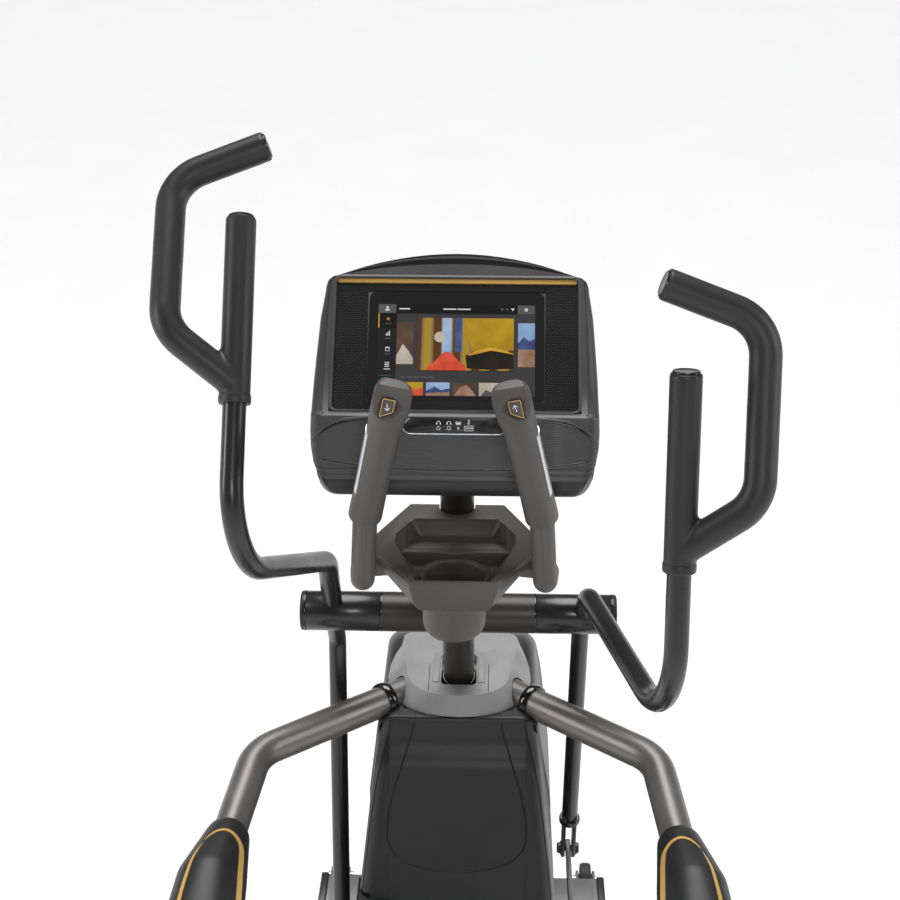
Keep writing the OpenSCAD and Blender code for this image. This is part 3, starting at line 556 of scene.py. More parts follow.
for name, mats, first, last, old in (
        ("console_face_housing", (charcoal, gloss_black, deep_black), n_rows - 2, n_rows + split_row,
         "console_front"),
        ("console_rear_housing", (deep_black, gloss_black, deep_black), split_row, n_rows - 2,
         "console_back")):
    build = Build(CONSOLE)
    band = [i % n_rows for i in range(first, last + 1)]
    keep = [i * (n_cols - 1) + j for i in band[:-1] for j in range(n_cols - 1)]
    build.add(verts, [faces[f] for f in keep], [finishes[f] for f in keep])
    build.f += [tuple(i * n_cols for i in band), tuple(i * n_cols + n_cols - 1 for i in reversed(band))]
    build.m += [0, 0]
    build.make(name, mats, "frame", SLOT[old], angle=36, replaces=[old])

# Backing plate of the well, its raised frame and the gilt strip
build = Build(CONSOLE)
build.prism(rounded(-171.4, -99.2, 171.4, 103.4, 6), 3.0, 3.6)
build.make("well_backing", [deep_black], "frame", "console_plastic", bevel=0.2)

FRAME_OUT, FRAME_IN = rounded(-172.5, -101, 172.5, 105, 11, 7), rounded(-168, -96.4, 168, 100.4, 7, 7)
build = Build(CONSOLE)
build.loft([[(x, y, z) for x, y in o] for o, z in
            ((FRAME_OUT, 3.4), (FRAME_OUT, 10.4), ([(x * 0.994, y * 0.99) for x, y in FRAME_OUT], 11.6),
             ([(x * 1.004, y * 1.006) for x, y in FRAME_IN], 11.6), (FRAME_IN, 10.8), (FRAME_IN, 3.4),
             (FRAME_OUT, 3.4))], 0, caps=False)
build.make("well_frame", [charcoal], "frame", "console_plastic", angle=50)

build = Build(CONSOLE)
build.prism(rounded(-166.5, 94.2, 166.5, 100.0, 1.8), 3.6, 8.2)
build.make("gilt_strip", [gold], "frame", "gold_trim", bevel=0.5)

# Speaker fields beside the screen: staggered rows of hexagonal studs on a dark plate
BEAD_R, BEAD_TAPER, BEAD_FOOT, BEAD_TOP = 1.25, 0.62, 4.9, 5.75
STUD_PITCH = 3.5
STUD_ROW = STUD_PITCH * 0.866
FIELD_LOW, FIELD_HEIGHT = -93.4, 186
build = Build(CONSOLE)
for side in (-1, 1):
    x0, x1 = sorted((side * 123.6, side * 167.2))
    build.prism([(x0, -95.6), (x1, -95.6), (x1, 93.4), (x0, 93.4)], 3.6, 5.0)
    for i in range(int(FIELD_HEIGHT / STUD_ROW)):
        y = FIELD_LOW + STUD_ROW * i
        for k in range(12):
            x = x0 + 2.4 + STUD_PITCH * (k + 0.5 * (i % 2))
            if x > x1 - 2:
                continue
            rim = [(x + BEAD_R * math.cos(math.radians(60 * q + 30)),
                    y + BEAD_R * math.sin(math.radians(60 * q + 30))) for q in range(6)]
            top = [(x + (a - x) * BEAD_TAPER, y + (b - y) * BEAD_TAPER, BEAD_TOP) for a, b in rim]
            build.add([(a, b, BEAD_FOOT) for a, b in rim] + top,
                      [(q, (q + 1) % 6, 6 + (q + 1) % 6, 6 + q) for q in range(6)]
                      + [tuple(range(6, 12)), tuple(reversed(range(6)))], 1)
for y0, y1 in ((83.0, 93.4), (-95.6, -83.0)):
    build.prism([(-123.4, y0), (123.4, y0), (123.4, y1), (-123.4, y1)], 3.6, 4.8)
build.make("speaker_fields", [gloss_black_soft, mesh_grey], "frame", "console_plastic", angle=20)


# Picture on the screen: a plain menu of tiles with no lettering
ACTIVE = (-108.5, -73.0, 108.5, 63.0)


def glow(name, stops, scale=6.0, kind="noise", across=(1, 1, 1), strength=0.9):
    """A lit surface whose colour runs through the stops by a soft noise or along a direction."""
    m = bpy.data.materials.new(name)
    m.use_nodes = True
    tree = m.node_tree
    bsdf = tree.nodes["Principled BSDF"]
    bsdf.inputs["Base Color"].default_value = (0.004, 0.004, 0.004, 1)
    bsdf.inputs["Roughness"].default_value = 0.12
    bsdf.inputs["Emission Strength"].default_value = strength
    coords = tree.nodes.new("ShaderNodeTexCoord")
    place = node(tree, "ShaderNodeMapping", Scale=across)
    tree.links.new(coords.outputs["Object"], place.inputs["Vector"])
    if kind == "noise":
        src = node(tree, "ShaderNodeTexNoise", Scale=scale, Detail=5.0)
        tree.links.new(place.outputs["Vector"], src.inputs["Vector"])
        fac = src.outputs["Fac"]
    else:
        src = node(tree, "ShaderNodeTexWave", Scale=scale, Distortion=1.2, Detail=2.0)
        src.bands_direction = kind
        tree.links.new(place.outputs["Vector"], src.inputs["Vector"])
        fac = src.outputs["Fac"]
    tree.links.new(ramp_of(tree, fac, [(p, (*c, 1)) for p, c in stops]), bsdf.inputs["Emission Color"])
    return m


ui = [glow("ui_page", [(0.3, (0.036, 0.036, 0.038)), (0.7, (0.046, 0.046, 0.048))]),
      glow("ui_bar", [(0.3, (0.002, 0.002, 0.002)), (0.7, (0.004, 0.004, 0.004))]),
      glow("ui_side", [(0.3, (0.009, 0.009, 0.009)), (0.7, (0.014, 0.014, 0.014))]),
      glow("ui_key", [(0.3, (0.075, 0.075, 0.078)), (0.7, (0.13, 0.13, 0.135))], 14),
      glow("ui_white", [(0.3, (0.62, 0.62, 0.62)), (0.7, (0.86, 0.86, 0.86))]),
      glow("ui_gold", [(0.35, (0.50, 0.24, 0.012)), (0.65, (0.72, 0.38, 0.03))], 20),
      glow("ui_green", [(0.3, (0.02, 0.27, 0.09)), (0.7, (0.05, 0.42, 0.16))], 30),
      glow("ui_hall", [(0.25, (0.10, 0.035, 0.012)), (0.5, (0.34, 0.19, 0.008)), (0.62, (0.11, 0.19, 0.22)),
                       (0.8, (0.42, 0.25, 0.012))], 7.5, "X", (1.6, 0.2, 0.2)),
      glow("ui_amber", [(0.3, (0.34, 0.19, 0.006)), (0.7, (0.56, 0.34, 0.012))], 24),
      glow("ui_shade", [(0.3, (0.007, 0.005, 0.003)), (0.7, (0.02, 0.013, 0.006))], 50),
      glow("ui_red", [(0.3, (0.52, 0.045, 0.02)), (0.7, (0.80, 0.11, 0.05))], 40),
      glow("ui_sky", [(0.3, (0.16, 0.30, 0.58)), (0.7, (0.40, 0.52, 0.70))], 30),
      glow("ui_hills", [(0.3, (0.025, 0.045, 0.16)), (0.7, (0.09, 0.12, 0.26))], 60),
      glow("ui_sand", [(0.3, (0.25, 0.12, 0.07)), (0.7, (0.42, 0.27, 0.18))], 60),
      glow("ui_cream", [(0.3, (0.42, 0.36, 0.28)), (0.7, (0.62, 0.57, 0.50))], 30),
      glow("ui_umber", [(0.3, (0.055, 0.03, 0.018)), (0.7, (0.13, 0.075, 0.05))], 30)]
(PAGE, BAR, SIDE, KEY, WHITE, AMBER, GREEN, HALL,
 YELLOW, DARK, RED, SKY, HILL, SAND, CREAM, UMBER) = range(16)
picture = Build(CONSOLE)


def at(u, v):
    """Place on the picture from its top left corner, each way from 0 to 1."""
    return ACTIVE[0] + u * (ACTIVE[2] - ACTIVE[0]), ACTIVE[3] - v * (ACTIVE[3] - ACTIVE[1])


def shape(points, ink, level):
    flat = [at(u, v) for u, v in points]
    area = sum(a[0] * b[1] - b[0] * a[1] for a, b in zip(flat, flat[1:] + flat[:1]))
    flat = flat if area > 0 else flat[::-1]
    picture.prism(flat, 4.0, 4.03 + 0.04 * level, ink)


def tile(u0, v0, u1, v1, ink, level):
    shape([(u0, v0), (u1, v0), (u1, v1), (u0, v1)], ink, level)


def disc(u, v, r, ink, level, n=24):
    shape([(u + r * math.cos(2 * math.pi * k / n),
            v + r * 1.6 * math.sin(2 * math.pi * k / n)) for k in range(n)],
          ink, level)


tile(0, 0, 1, 1, PAGE, 0)
tile(0, 0, 1, 0.105, BAR, 1)
tile(0, 0.003, 0.112, 0.1, KEY, 2)
tile(0.89, 0.003, 1, 0.1, KEY, 2)
disc(0.944, 0.052, 0.011, WHITE, 3)
disc(0.944, 0.052, 0.005, KEY, 4)
disc(0.056, 0.038, 0.008, WHITE, 3)
tile(0.043, 0.055, 0.069, 0.074, WHITE, 3)
for u0, u1 in ((0.132, 0.2), (0.413, 0.497), (0.505, 0.588)):
    tile(u0, 0.045, u1, 0.058, WHITE, 2)
for k, u in enumerate((0.79, 0.822, 0.858)):
    shape([(u - 0.012, 0.038), (u + 0.012, 0.038), (u, 0.066)], (KEY, KEY, WHITE)[k], 2)
tile(0, 0.105, 0.118, 1, SIDE, 1)
tile(0, 0.105, 0.118, 0.265, BAR, 2)
tile(0, 0.105, 0.007, 0.265, AMBER, 3)
star = [(0.063 + (0.014 if k % 2 == 0 else 0.006) * math.sin(math.pi * k / 5),
         0.165 - (0.014 if k % 2 == 0 else 0.006) * 1.6 * math.cos(math.pi * k / 5)) for k in range(10)]
shape(star, AMBER, 3)
for k in range(3):
    tile(0.05 + 0.01 * k, 0.345 - 0.016 * (k + 1), 0.056 + 0.01 * k, 0.35, WHITE, 3)
tile(0.05, 0.475, 0.077, 0.52, WHITE, 3)
tile(0.053, 0.488, 0.074, 0.514, SIDE, 4)
for k in range(9):
    tile(0.05 + 0.01 * (k % 3), 0.64 + 0.02 * (k // 3), 0.057 + 0.01 * (k % 3), 0.653 + 0.02 * (k // 3),
         WHITE, 3)
for v in (0.212, 0.376, 0.545, 0.712):
    tile(0.044, v, 0.084, v + 0.009, (WHITE, KEY, KEY, KEY)[int(v * 6) % 4], 3)
tile(0.02, 0.783, 0.098, 0.789, KEY, 3)
disc(0.058, 0.888, 0.05, GREEN, 2, 36)
disc(0.058, 0.888, 0.044, GREEN, 3, 36)
shape([(0.048, 0.86), (0.048, 0.916), (0.076, 0.888)], WHITE, 4)
tile(0.121, 0.2, 0.228, 0.68, UMBER, 1)
shape([(0.121, 0.66), (0.121, 0.57), (0.16, 0.44), (0.2, 0.52), (0.228, 0.6), (0.228, 0.66)], CREAM, 2)
tile(0.257, 0.15, 0.866, 0.735, HALL, 1)
shape([(0.56, 0.15), (0.866, 0.15), (0.866, 0.5), (0.72, 0.48), (0.6, 0.52)], YELLOW, 2)
tile(0.41, 0.15, 0.47, 0.62, SKY, 2)
tile(0.49, 0.15, 0.535, 0.52, HILL, 2)
swoop = [(0.56 + 0.306 * k / 12, 0.56 - 0.07 * math.sin(math.pi * k / 12)) for k in range(13)]
shape(swoop + [(0.866, 0.70), (0.7, 0.715), (0.57, 0.70)], DARK, 3)
swoop = [(0.58 + 0.286 * k / 10, 0.545 - 0.07 * math.sin(math.pi * k / 10)) for k in range(11)]
shape(swoop + [(0.866, 0.535), (0.72, 0.505), (0.58, 0.565)], AMBER, 4)
wave = [(0.33 + 0.025 * k, 0.66 - 0.14 * math.sin(math.pi * k / 9) ** 2) for k in range(10)]
shape(wave + [(0.57, 0.735), (0.31, 0.735)], RED, 4)
disc(0.395, 0.36, 0.036, CREAM, 4)
tile(0.257, 0.725, 0.866, 0.735, DARK, 5)
tile(0.893, 0.2, 1, 0.68, SKY, 1)
shape([(0.893, 0.42), (0.93, 0.35), (0.965, 0.4), (1, 0.37), (1, 0.5), (0.893, 0.5)], HILL, 2)
tile(0.893, 0.49, 1, 0.68, SAND, 3)
for k in range(5):
    tile(0.147 + 0.045 * k, 0.797, 0.185 + 0.045 * k, 0.81, KEY, 2)
for k, u in enumerate((0.147, 0.315, 0.481, 0.648)):
    tile(u, 0.857, u + 0.149, 1.0, (YELLOW, SKY, UMBER, CREAM)[k], 1)
shape([(0.147, 1), (0.147, 0.95), (0.2, 0.89), (0.25, 0.94), (0.296, 0.91), (0.296, 1)], RED, 2)
shape([(0.315, 1), (0.315, 0.95), (0.37, 0.90), (0.41, 0.94), (0.464, 0.92), (0.464, 1)], HILL, 2)
shape([(0.315, 1), (0.315, 0.975), (0.464, 0.955), (0.464, 1)], SAND, 3)
shape([(0.49, 1), (0.53, 0.91), (0.57, 0.88), (0.61, 0.95), (0.63, 1)], SAND, 2)
shape([(0.66, 1), (0.69, 0.93), (0.73, 0.96), (0.797, 0.9), (0.797, 1)], KEY, 2)
picture.make("display_picture", ui, "frame", "screen_glass", angle=10)


# Port panel: two jacks, a card slot and a socket with plain pictograms
PORTS = CONSOLE @ Matrix.Translation((0, -118, 9)) @ Matrix.Rotation(math.radians(30), 4, "X")
hexagon = [(-59.5, 11.6), (-73, -2.5), (-63.5, -11.6), (63.5, -11.6), (73, -2.5), (59.5, 11.6)]
hexagon = soften(hexagon, 5, 3)
build = Build(PORTS)
build.prism(hexagon, -4, 2.2)
plate = build.make("port_plate", [gloss_black_soft], "frame", SLOT["port_panel"], replaces=["port_panel"])
cutter = Build(PORTS)
for x in (-21.5, -7.5):
    cutter.prism(circle(x, -3.2, 1.9, 20), -1, 5)
cutter.prism(rounded(13.5, -6.2, 25.5, -0.4, 1.2, 3), -1, 5)
boolean(plate, cutter.make("port_cutter", [deep_black], None))
finish_edges(plate, 0.35, 2)
build = Build(PORTS)
edge_line = [p for p in hexagon if p[1] < 10.5]
build.tube([(x, y, 2.3) for x, y in edge_line], 0.75, segs=8)
build.make("port_edge_line", [steel], "frame", "console_plastic", angle=60)
build = Build(PORTS)
for x in (-21.5, -7.5):
    ring = [(x + 2.3 * math.cos(t), -3.2 + 2.3 * math.sin(t), 2.3) for t in
            (2 * math.pi * k / 20 for k in range(21))]
    build.tube(ring, 0.35, segs=6)
    arc = [(x + 2.6 * math.cos(t), 3.2 + 2.9 * math.sin(t), 2.3) for t in
           (math.radians(a) for a in range(-10, 200, 15))]
    build.tube(arc, 0.42, segs=6)
    for dx in (-2.5, 2.5):
        build.prism(rounded(x + dx - 0.8, 1.6, x + dx + 0.8, 4.4, 0.6, 3), 2.1, 2.8)
frame_line = rounded(13.3, -6.5, 25.7, -0.1, 1.5, 4)
build.tube([(x, y, 2.3) for x, y in frame_line + frame_line[:1]], 0.35, segs=6)
build.prism([(14.5, -4.1), (24.5, -4.1), (24.5, -2.6), (14.5, -2.6)], 0.2, 1.2)
build.prism([(18.9, 1.5), (19.9, 1.5), (19.9, 7.5), (18.9, 7.5)], 2.1, 2.6)
build.prism([(17.9, 6.8), (20.9, 6.8), (19.4, 8.8)], 2.1, 2.6)
build.prism([(17.4, 3.4), (21.4, 4.6), (21.4, 5.4), (17.4, 4.2)], 2.1, 2.6)
build.prism([(1.2, 4.2), (9.2, 4.2), (8.0, 1.6), (2.4, 1.6)], 2.1, 2.6)
build.prism([(1.2, 5.0), (9.2, 5.0), (9.2, 5.6), (1.2, 5.6)], 2.1, 2.6)
build.prism([(3.4, -3.0), (5.2, -4.8), (7.0, -3.0), (5.2, -1.6)], 2.1, 2.6)
build.make("port_pictograms", [white_ink], "frame", "console_plastic", angle=40)


# Beads along the sloping chin: a brow over it and a lip under it, curved as one lens
def bead(name, line, radius, finish, slot="console_plastic"):
    build = Build(CONSOLE)
    build.tube(line, radius, segs=10)
    return build.make(name, [finish], "frame", slot, angle=60)


def chin_line(t_middle, t_end, reach, lift, gap=0.0):
    """Points on the chin from side to side, t changing from the middle to the ends."""
    out = []
    for k in range(41):
        u = -1 + k / 20
        if abs(u) * reach < gap:
            continue
        t = t_middle + (t_end - t_middle) * abs(u) ** 2.2
        s, n = chin(t, lift)
        out.append(console_point(u * reach, s, n))
    return out


bead("lip_bead", chin_line(76.2, 60, 196.5, 0.2), [0.6] * 2 + [1.5] * 37 + [0.6] * 2, charcoal)
bead("lip_shadow", chin_line(73.2, 57, 196.5, -0.2), [0.4] * 2 + [1.1] * 37 + [0.4] * 2, gloss_black)
for label, side in SIDES:
    line = [console_point(side * x, *chin(t, 0.3)) for x, t in
            ((197, 40), (192, 31), (184, 22), (174, 14), (162, 8), (150, 4.5), (135, 2.5), (118, 1.5),
             (98, 1), (76, 1))]
    bead(label + "_brow_bead", line, [0.7, 1.4, 1.9, 2.1, 2.1, 2.0, 1.8, 1.6, 1.3, 0.9], charcoal)
    line = [console_point(side * x, *chin(t, 0.0)) for x, t in
            ((197, 45), (192, 36), (184, 27), (174, 18.6), (162, 12.2), (150, 8.4), (135, 6.0), (118, 4.8))]
    bead(label + "_brow_shadow", line, [0.5, 1.0, 1.4, 1.6, 1.6, 1.4, 1.1, 0.6], gloss_black)

# Screws behind the console
build = Build(CONSOLE)
for x in (-45, 45):
    for s in (-95, -5):
        build.add(*hex_head(x, s, -98.5, 6.5, 4.5))
build.make("console_screws", [plated], "frame", "zinc_steel", angle=30)


# ---------- tray ----------

T_TOP, T_LOW = 1178, 1126


def ring8(rear, ry, wide, wy0, wy1, front, fy, z):
    pts = [(rear, ry), (wide, wy0), (wide, wy1), (front, fy)]
    both = [(-x, y) for x, y in pts] + [(x, y) for x, y in reversed(pts)]
    return [(x, y, z) for x, y in both]


build = Build(Matrix.Identity(4))
build.loft([ring8(50, 244, 74, 160, 118, 47, 34, T_LOW), ring8(52, 246, 78, 161, 116, 50, 31, T_LOW + 4),
            ring8(62, 255, 96, 163, 116, 55, 24, 1141), ring8(71, 261, 113, 165, 113, 58, 20.5, 1158),
            ring8(72, 262, 117, 165, 112, 60, 20, 1166), ring8(72, 262, 117, 165, 112, 60, 20, T_TOP - 3),
            ring8(70, 260, 114.5, 164, 113, 58.5, 22, T_TOP)])
tray = build.make("accessory_tray_moulding", [taupe], "frame", SLOT["accessory_tray"])
cut = Build()
cut.loft([ring8(52, 207, 71, 163, 140, 44, 33, 1153), ring8(60, 212, 84, 164, 139, 51, 28, 1172),
          ring8(62, 214, 88, 164, 138, 53, 26, T_TOP + 2)])
boolean(tray, cut.make("cut_basin", [taupe], None, bevel=2.5, segments=3))
cut = Build()
cut.prism(rounded(-73, 133, 73, 204, 13, 5), 1145, 1200)
boolean(tray, cut.make("cut_slot", [taupe], None))
cut = Build()
cut.prism(circle(0, 80, 41.5, 56), 1072, 1200)
boolean(tray, cut.make("cut_cup", [taupe], None))
mast_dir = Vector((0, -math.sin(math.radians(20)), math.cos(math.radians(20))))
mast_at = lambda t: Vector((0, 340, 945)) + mast_dir * t
cut = Build()
cut.tube([mast_at(120), mast_at(330)], 27.2, segs=48)
boolean(tray, cut.make("cut_mast", [taupe], None))
finish_edges(tray, 1.6, 3, angle=40)

build = Build()
crest = [(x, 1170 - 2.2 * math.cos(math.pi * x / 60) ** 2 if abs(x) < 30 else 1170)
         for x in range(-78, 79, 6)]
side_view = [(-71, 1151.5)] + [(-78, 1168)] + crest[1:-1] + [(78, 1168), (71, 1151.5)]
build.prism([(x, z) for x, z in reversed(side_view)], -136.5, -124.5,
            matrix=Matrix(((1, 0, 0, 0), (0, 0, -1, 0), (0, 1, 0, 0), (0, 0, 0, 1))))
build.make("tray_divider", [taupe], "frame", SLOT["accessory_tray"], bevel=1.4, segments=3)

# Cup holder: lathed wall with a rolled rim and a rounded foot
build = Build(Matrix.Translation((0, 80, 0)))
profile = [(41.5, 1150), (41.5, 1079), (39, 1074), (0.5, 1072), (0.5, 1068), (33, 1068), (38.5, 1070),
           (42, 1075),
           (44.4, 1082), (46.5, 1128), (50.5, 1149), (50.5, 1156), (49.2, 1158.6), (46.8, 1159.6),
           (43.6, 1158.4),
           (41.9, 1155.4)]
build.loft([[(r * math.cos(t), r * math.sin(t), z) for t in (2 * math.pi * k / 64 for k in range(64))]
            for r, z in profile + profile[:1]], caps=False)
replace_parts(build.make("cup_holder_bowl", [taupe], "frame", SLOT["accessory_tray"], angle=40),
            "accessory_tray")


# ---------- pulse grips ----------

LOW_END, HIGH_END = Vector((120, 30, 1277)), Vector((76, -60, 1501))
axis = (HIGH_END - LOW_END).normalized()
across = Vector((0, 1, 0)).cross(axis).normalized()
ahead = axis.cross(across)
GRIP = Matrix.Translation(LOW_END) @ Matrix((across, ahead, axis)).transposed().to_4x4()
grip_len = (HIGH_END - LOW_END).length
BUTTON = GRIP @ Matrix.Translation((0, -15, grip_len - 20)) @ Matrix.Rotation(math.radians(52), 4, "X")


def grip_section(z, outer, inside, back, front, square):
    """One closed section: reach outward, inward, toward the user and ahead; square 2 is an ellipse."""
    pts = []
    for k in range(40):
        t = 2 * math.pi * k / 40
        c, s = math.cos(t), math.sin(t)
        x = math.copysign(abs(c) ** (2 / square), c) * (outer if c > 0 else inside)
        y = math.copysign(abs(s) ** (2 / square), s) * (front if s > 0 else back)
        pts.append((x, y, z))
    return pts


SECTIONS = [(0, 22.2, 22.2, 22.2, 22.2, 2.0), (0.8, 23.1, 23.1, 23.1, 23.1, 2.0),
            (30, 22.8, 22.9, 22.7, 22.7, 2.0),
            (60, 22.0, 22.6, 22.2, 22.2, 2.0), (100, 21.4, 22.8, 22, 22, 2.0), (150, 21.2, 23, 22.2, 22, 2.0),
            (176, 21.4, 23.6, 22.8, 22, 2.05), (190, 21.6, 25.4, 23.8, 22, 2.15),
            (203, 21.8, 27.4, 25, 22.5, 2.3),
            (216, 21.8, 28.4, 26, 23, 2.45), (228, 21.6, 28.6, 26, 23, 2.6), (238, 21.2, 28.0, 25, 22.4, 2.6),
            (244, 19.6, 26.4, 23, 20.5, 2.5), (247.5, 15.5, 22, 18.5, 16.5, 2.4)]
for label, side in SIDES:
    build = Build(MIRROR[side] @ GRIP)
    build.loft([grip_section(*row) for row in SECTIONS])
    grip = build.make(label + "_pulse_grip", [taupe], "frame", SLOT["pulse_grips"])
    cut = Build(MIRROR[side] @ BUTTON)
    cut.prism([(-60, -60), (80, -60), (80, 60), (-60, 60)], 0.0, 60)
    boolean(grip, cut.make("cut_facet", [taupe], None))
    finish_edges(grip, 2.2, 3, angle=50, limit=26)
    pad = [(-7.5, -4.5), (9.4, -13.2), (8.4, 11.8), (-8.6, 11.8)]
    outline = soften(pad, 1.8, 3)
    # Pocket that the key sinks into when it is pressed
    cut = Build(MIRROR[side] @ BUTTON)
    cut.prism([(x * 1.05, y * 1.05) for x, y in outline], -5.0, 12)
    boolean(grip, cut.make("cut_key_pocket", [taupe], None))
    if side > 0:
        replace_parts(grip, "pulse_grips")
    # Key on the facet: gold outline round a dark pad with a white arrow
    rides = label + "_key"
    build = Build(MIRROR[side] @ BUTTON)
    build.prism(outline, -3.0, 1.1)
    build.make(label + "_key_cap", [taupe], rides, SLOT[label + "_button"], bevel=0.5,
               replaces=[label + "_button"])
    build = Build(MIRROR[side] @ BUTTON)
    line = [(x * 0.93, y * 0.93, 1.25) for x, y in outline]
    build.tube(line + line[:1], 0.5, segs=8)
    build.make(label + "_key_outline", [gold], rides, "gold_trim", angle=60)
    build = Build(MIRROR[side] @ BUTTON)
    flip = 1 if side > 0 else -1
    lean = Matrix.Rotation(math.radians(14 * flip), 4, "Z")
    arrow = [((-0.45, -4.6), (0.45, -4.6), (0.45, 4.0), (-0.45, 4.0)),
             ((0, 4.9), (-3.4, 1.4), (-2.7, 0.7), (0, 3.5)), ((0, 4.9), (0, 3.5), (2.7, 0.7), (3.4, 1.4))]
    for points in arrow:
        flat = [(x + 0.6, y * flip + 1.5) for x, y in points]
        flat = flat if flip > 0 else flat[::-1]
        build.prism(flat, 0.9, 1.35, matrix=lean)
    build.make(label + "_key_arrow", [white_ink], rides, SLOT[label + "_button"], angle=20)


# ---------- lathed and copied shapes ----------

ALONG_X = Matrix(((0, 0, 1, 0), (1, 0, 0, 0), (0, 1, 0, 0), (0, 0, 0, 1)))


def lathe(build, profile, matrix, mat=0, segs=64):
    """Turns (radius, height) points round the matrix's Z axis into a closed ring or disc."""
    rings = [[(r * math.cos(2 * math.pi * k / segs), r * math.sin(2 * math.pi * k / segs), h)
              for k in range(segs)] for r, h in profile + profile[:1]]
    build.loft(rings, mat, False, matrix)


def broken_edges(name, finish, width, body, segments=2):
    """A copy of a CAD node with its flats joined and its edges eased, standing for the node."""
    mesh = nodes[name].data.copy()
    mesh.materials.clear()
    mesh.materials.append(finish)
    work = bmesh.new()
    work.from_mesh(mesh)
    bmesh.ops.remove_doubles(work, verts=work.verts, dist=1e-6)
    bmesh.ops.dissolve_limit(work, angle_limit=math.radians(0.6), verts=work.verts, edges=work.edges)
    work.to_mesh(mesh)
    work.free()
    obj = bpy.data.objects.new(name + "_finished", mesh)
    obj.matrix_world = nodes[name].matrix_world.copy()
    scene.collection.objects.link(obj)
    finish_edges(obj, width, segments)
    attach(obj, body)
    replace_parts(obj, name)
    return obj


# ---------- handlebar grips ----------

PIVOT = (0, 340, 945)
low_pin, high_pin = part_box("right_clevis_pin")
pin_r = (low_pin + high_pin) / 2
low_pin, high_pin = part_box("left_clevis_pin")
pin_l = (low_pin + high_pin) / 2
angle_of = lambda p: math.atan2(p.z - PIVOT[2] / 1000, p.y - PIVOT[1] / 1000)
HANDLE = {1: Matrix.Translation(PIVOT),
          -1: Matrix.Translation(PIVOT) @ Matrix.Rotation(angle_of(pin_l) - angle_of(pin_r), 4,
                                                          "X") @ MIRROR[-1]}

ELBOW = Vector((291, -514, 119))
RISE = Vector((0, math.sin(math.radians(12)), math.cos(math.radians(12))))
GRIP_FROM, GRIP_TO = 226, 481
OUTER = [Vector((385, -470, 437)), Vector((392, -376, 640)), Vector((262, -373, 690))]


def axis_frame(origin, direction):
    return Matrix.Translation(origin) @ Vector(direction).to_track_quat("Z", "Y").to_matrix().to_4x4()


def blended(obj, size, rounds):
    """Fuses overlapping bars into one skin and softens where they meet."""
    mod = obj.modifiers.new("skin", "REMESH")
    mod.mode = "VOXEL"
    mod.voxel_size = size * 0.001
    mod = obj.modifiers.new("soften", "SMOOTH")
    mod.factor = 0.5
    mod.iterations = rounds
    apply(obj)
    obj.data.shade_smooth()


for label, side in SIDES:
    rides = label + "_handle"
    build = Build(HANDLE[side])
    foot = ELBOW + RISE * (GRIP_FROM + 2)
    build.tube([foot, ELBOW + RISE * (GRIP_TO - 1)], 21.0, segs=40)
    crotch = ELBOW + RISE * (GRIP_FROM + 24)
    path = bend([crotch] + OUTER, 58, 14)
    build.tube(path, 21.0, segs=40)
    web = (OUTER[0] - crotch).normalized()
    for k in range(1, 6):
        centre = crotch + web * (6 + 5 * k) + RISE * (15 - 0.6 * k)
        build.tube([centre - RISE * 9, centre + RISE * 9], 15 - k, segs=16)
    grip = build.make(label + "_handlebar_grip", [foam], rides, SLOT[label + "_grip"],
                      replaces=[label + "_grip"])
    blended(grip, 2.3, 14)
    # Ring at the foot of the grip, and the plugs that close both of its ends
    build = Build(HANDLE[side])
    lathe(build, [(16.1, 0), (20.4, 0), (21.6, 1.2), (22.0, 4), (22.0, 10), (21.3, 12.5), (16.1, 12.5)],
          axis_frame(ELBOW + RISE * (GRIP_FROM - 3), RISE), segs=48)
    build.make(label + "_grip_collar", [foam], rides, SLOT[label + "_grip"])
    build = Build(HANDLE[side])
    tip = (OUTER[2] - OUTER[1]).normalized()
    for spot, way in ((ELBOW + RISE * GRIP_TO, RISE), (OUTER[2], tip)):
        lathe(build, [(0.4, -3), (16.5, -3), (17.8, -0.8), (17.6, 0.9), (16.2, 1.9), (15.2, 1.5), (14.4, 1.3),
                      (0.4, 1.6)],
              axis_frame(spot, way), segs=48)
    build.make(label + "_grip_plugs", [gloss_black_soft], rides, SLOT[label + "_grip"])


# ---------- crossbar ----------

build = Build()
for side in (-1, 1):
    for x in (122.2, 243.2):
        lathe(build, [(30.2, -1.15), (32.1, -1.15), (32.6, 0), (32.1, 1.15), (30.2, 1.15)],
              Matrix.Translation((side * x, PIVOT[1], PIVOT[2])) @ ALONG_X)
build.make("crossbar_seal_rings", [gloss_black], "frame", "black_plastic", angle=50)
build = Build()
for side in (-1, 1):
    cap = [(0.4, 251), (20, 251), (21, 250.4), (22, 251), (28.2, 251), (30.6, 250.1), (31.7, 247.8),
           (31.8, 244.2),
           (20, 243.9), (20, 248), (0.4, 248)]
    lathe(build, [(r, side * h) for r, h in (cap if side > 0 else cap[::-1])],
          Matrix.Translation((0, PIVOT[1], PIVOT[2])) @ ALONG_X)
build.make("crossbar_end_caps", [deep_black], "frame", SLOT["axle_end_caps"], angle=40,
           replaces=["axle_end_caps"])


# ---------- mast cap ----------

def cap_ring(points, z):
    return [(x, y, z) for x, y in points] + [(-x, y, z) for x, y in reversed(points)]


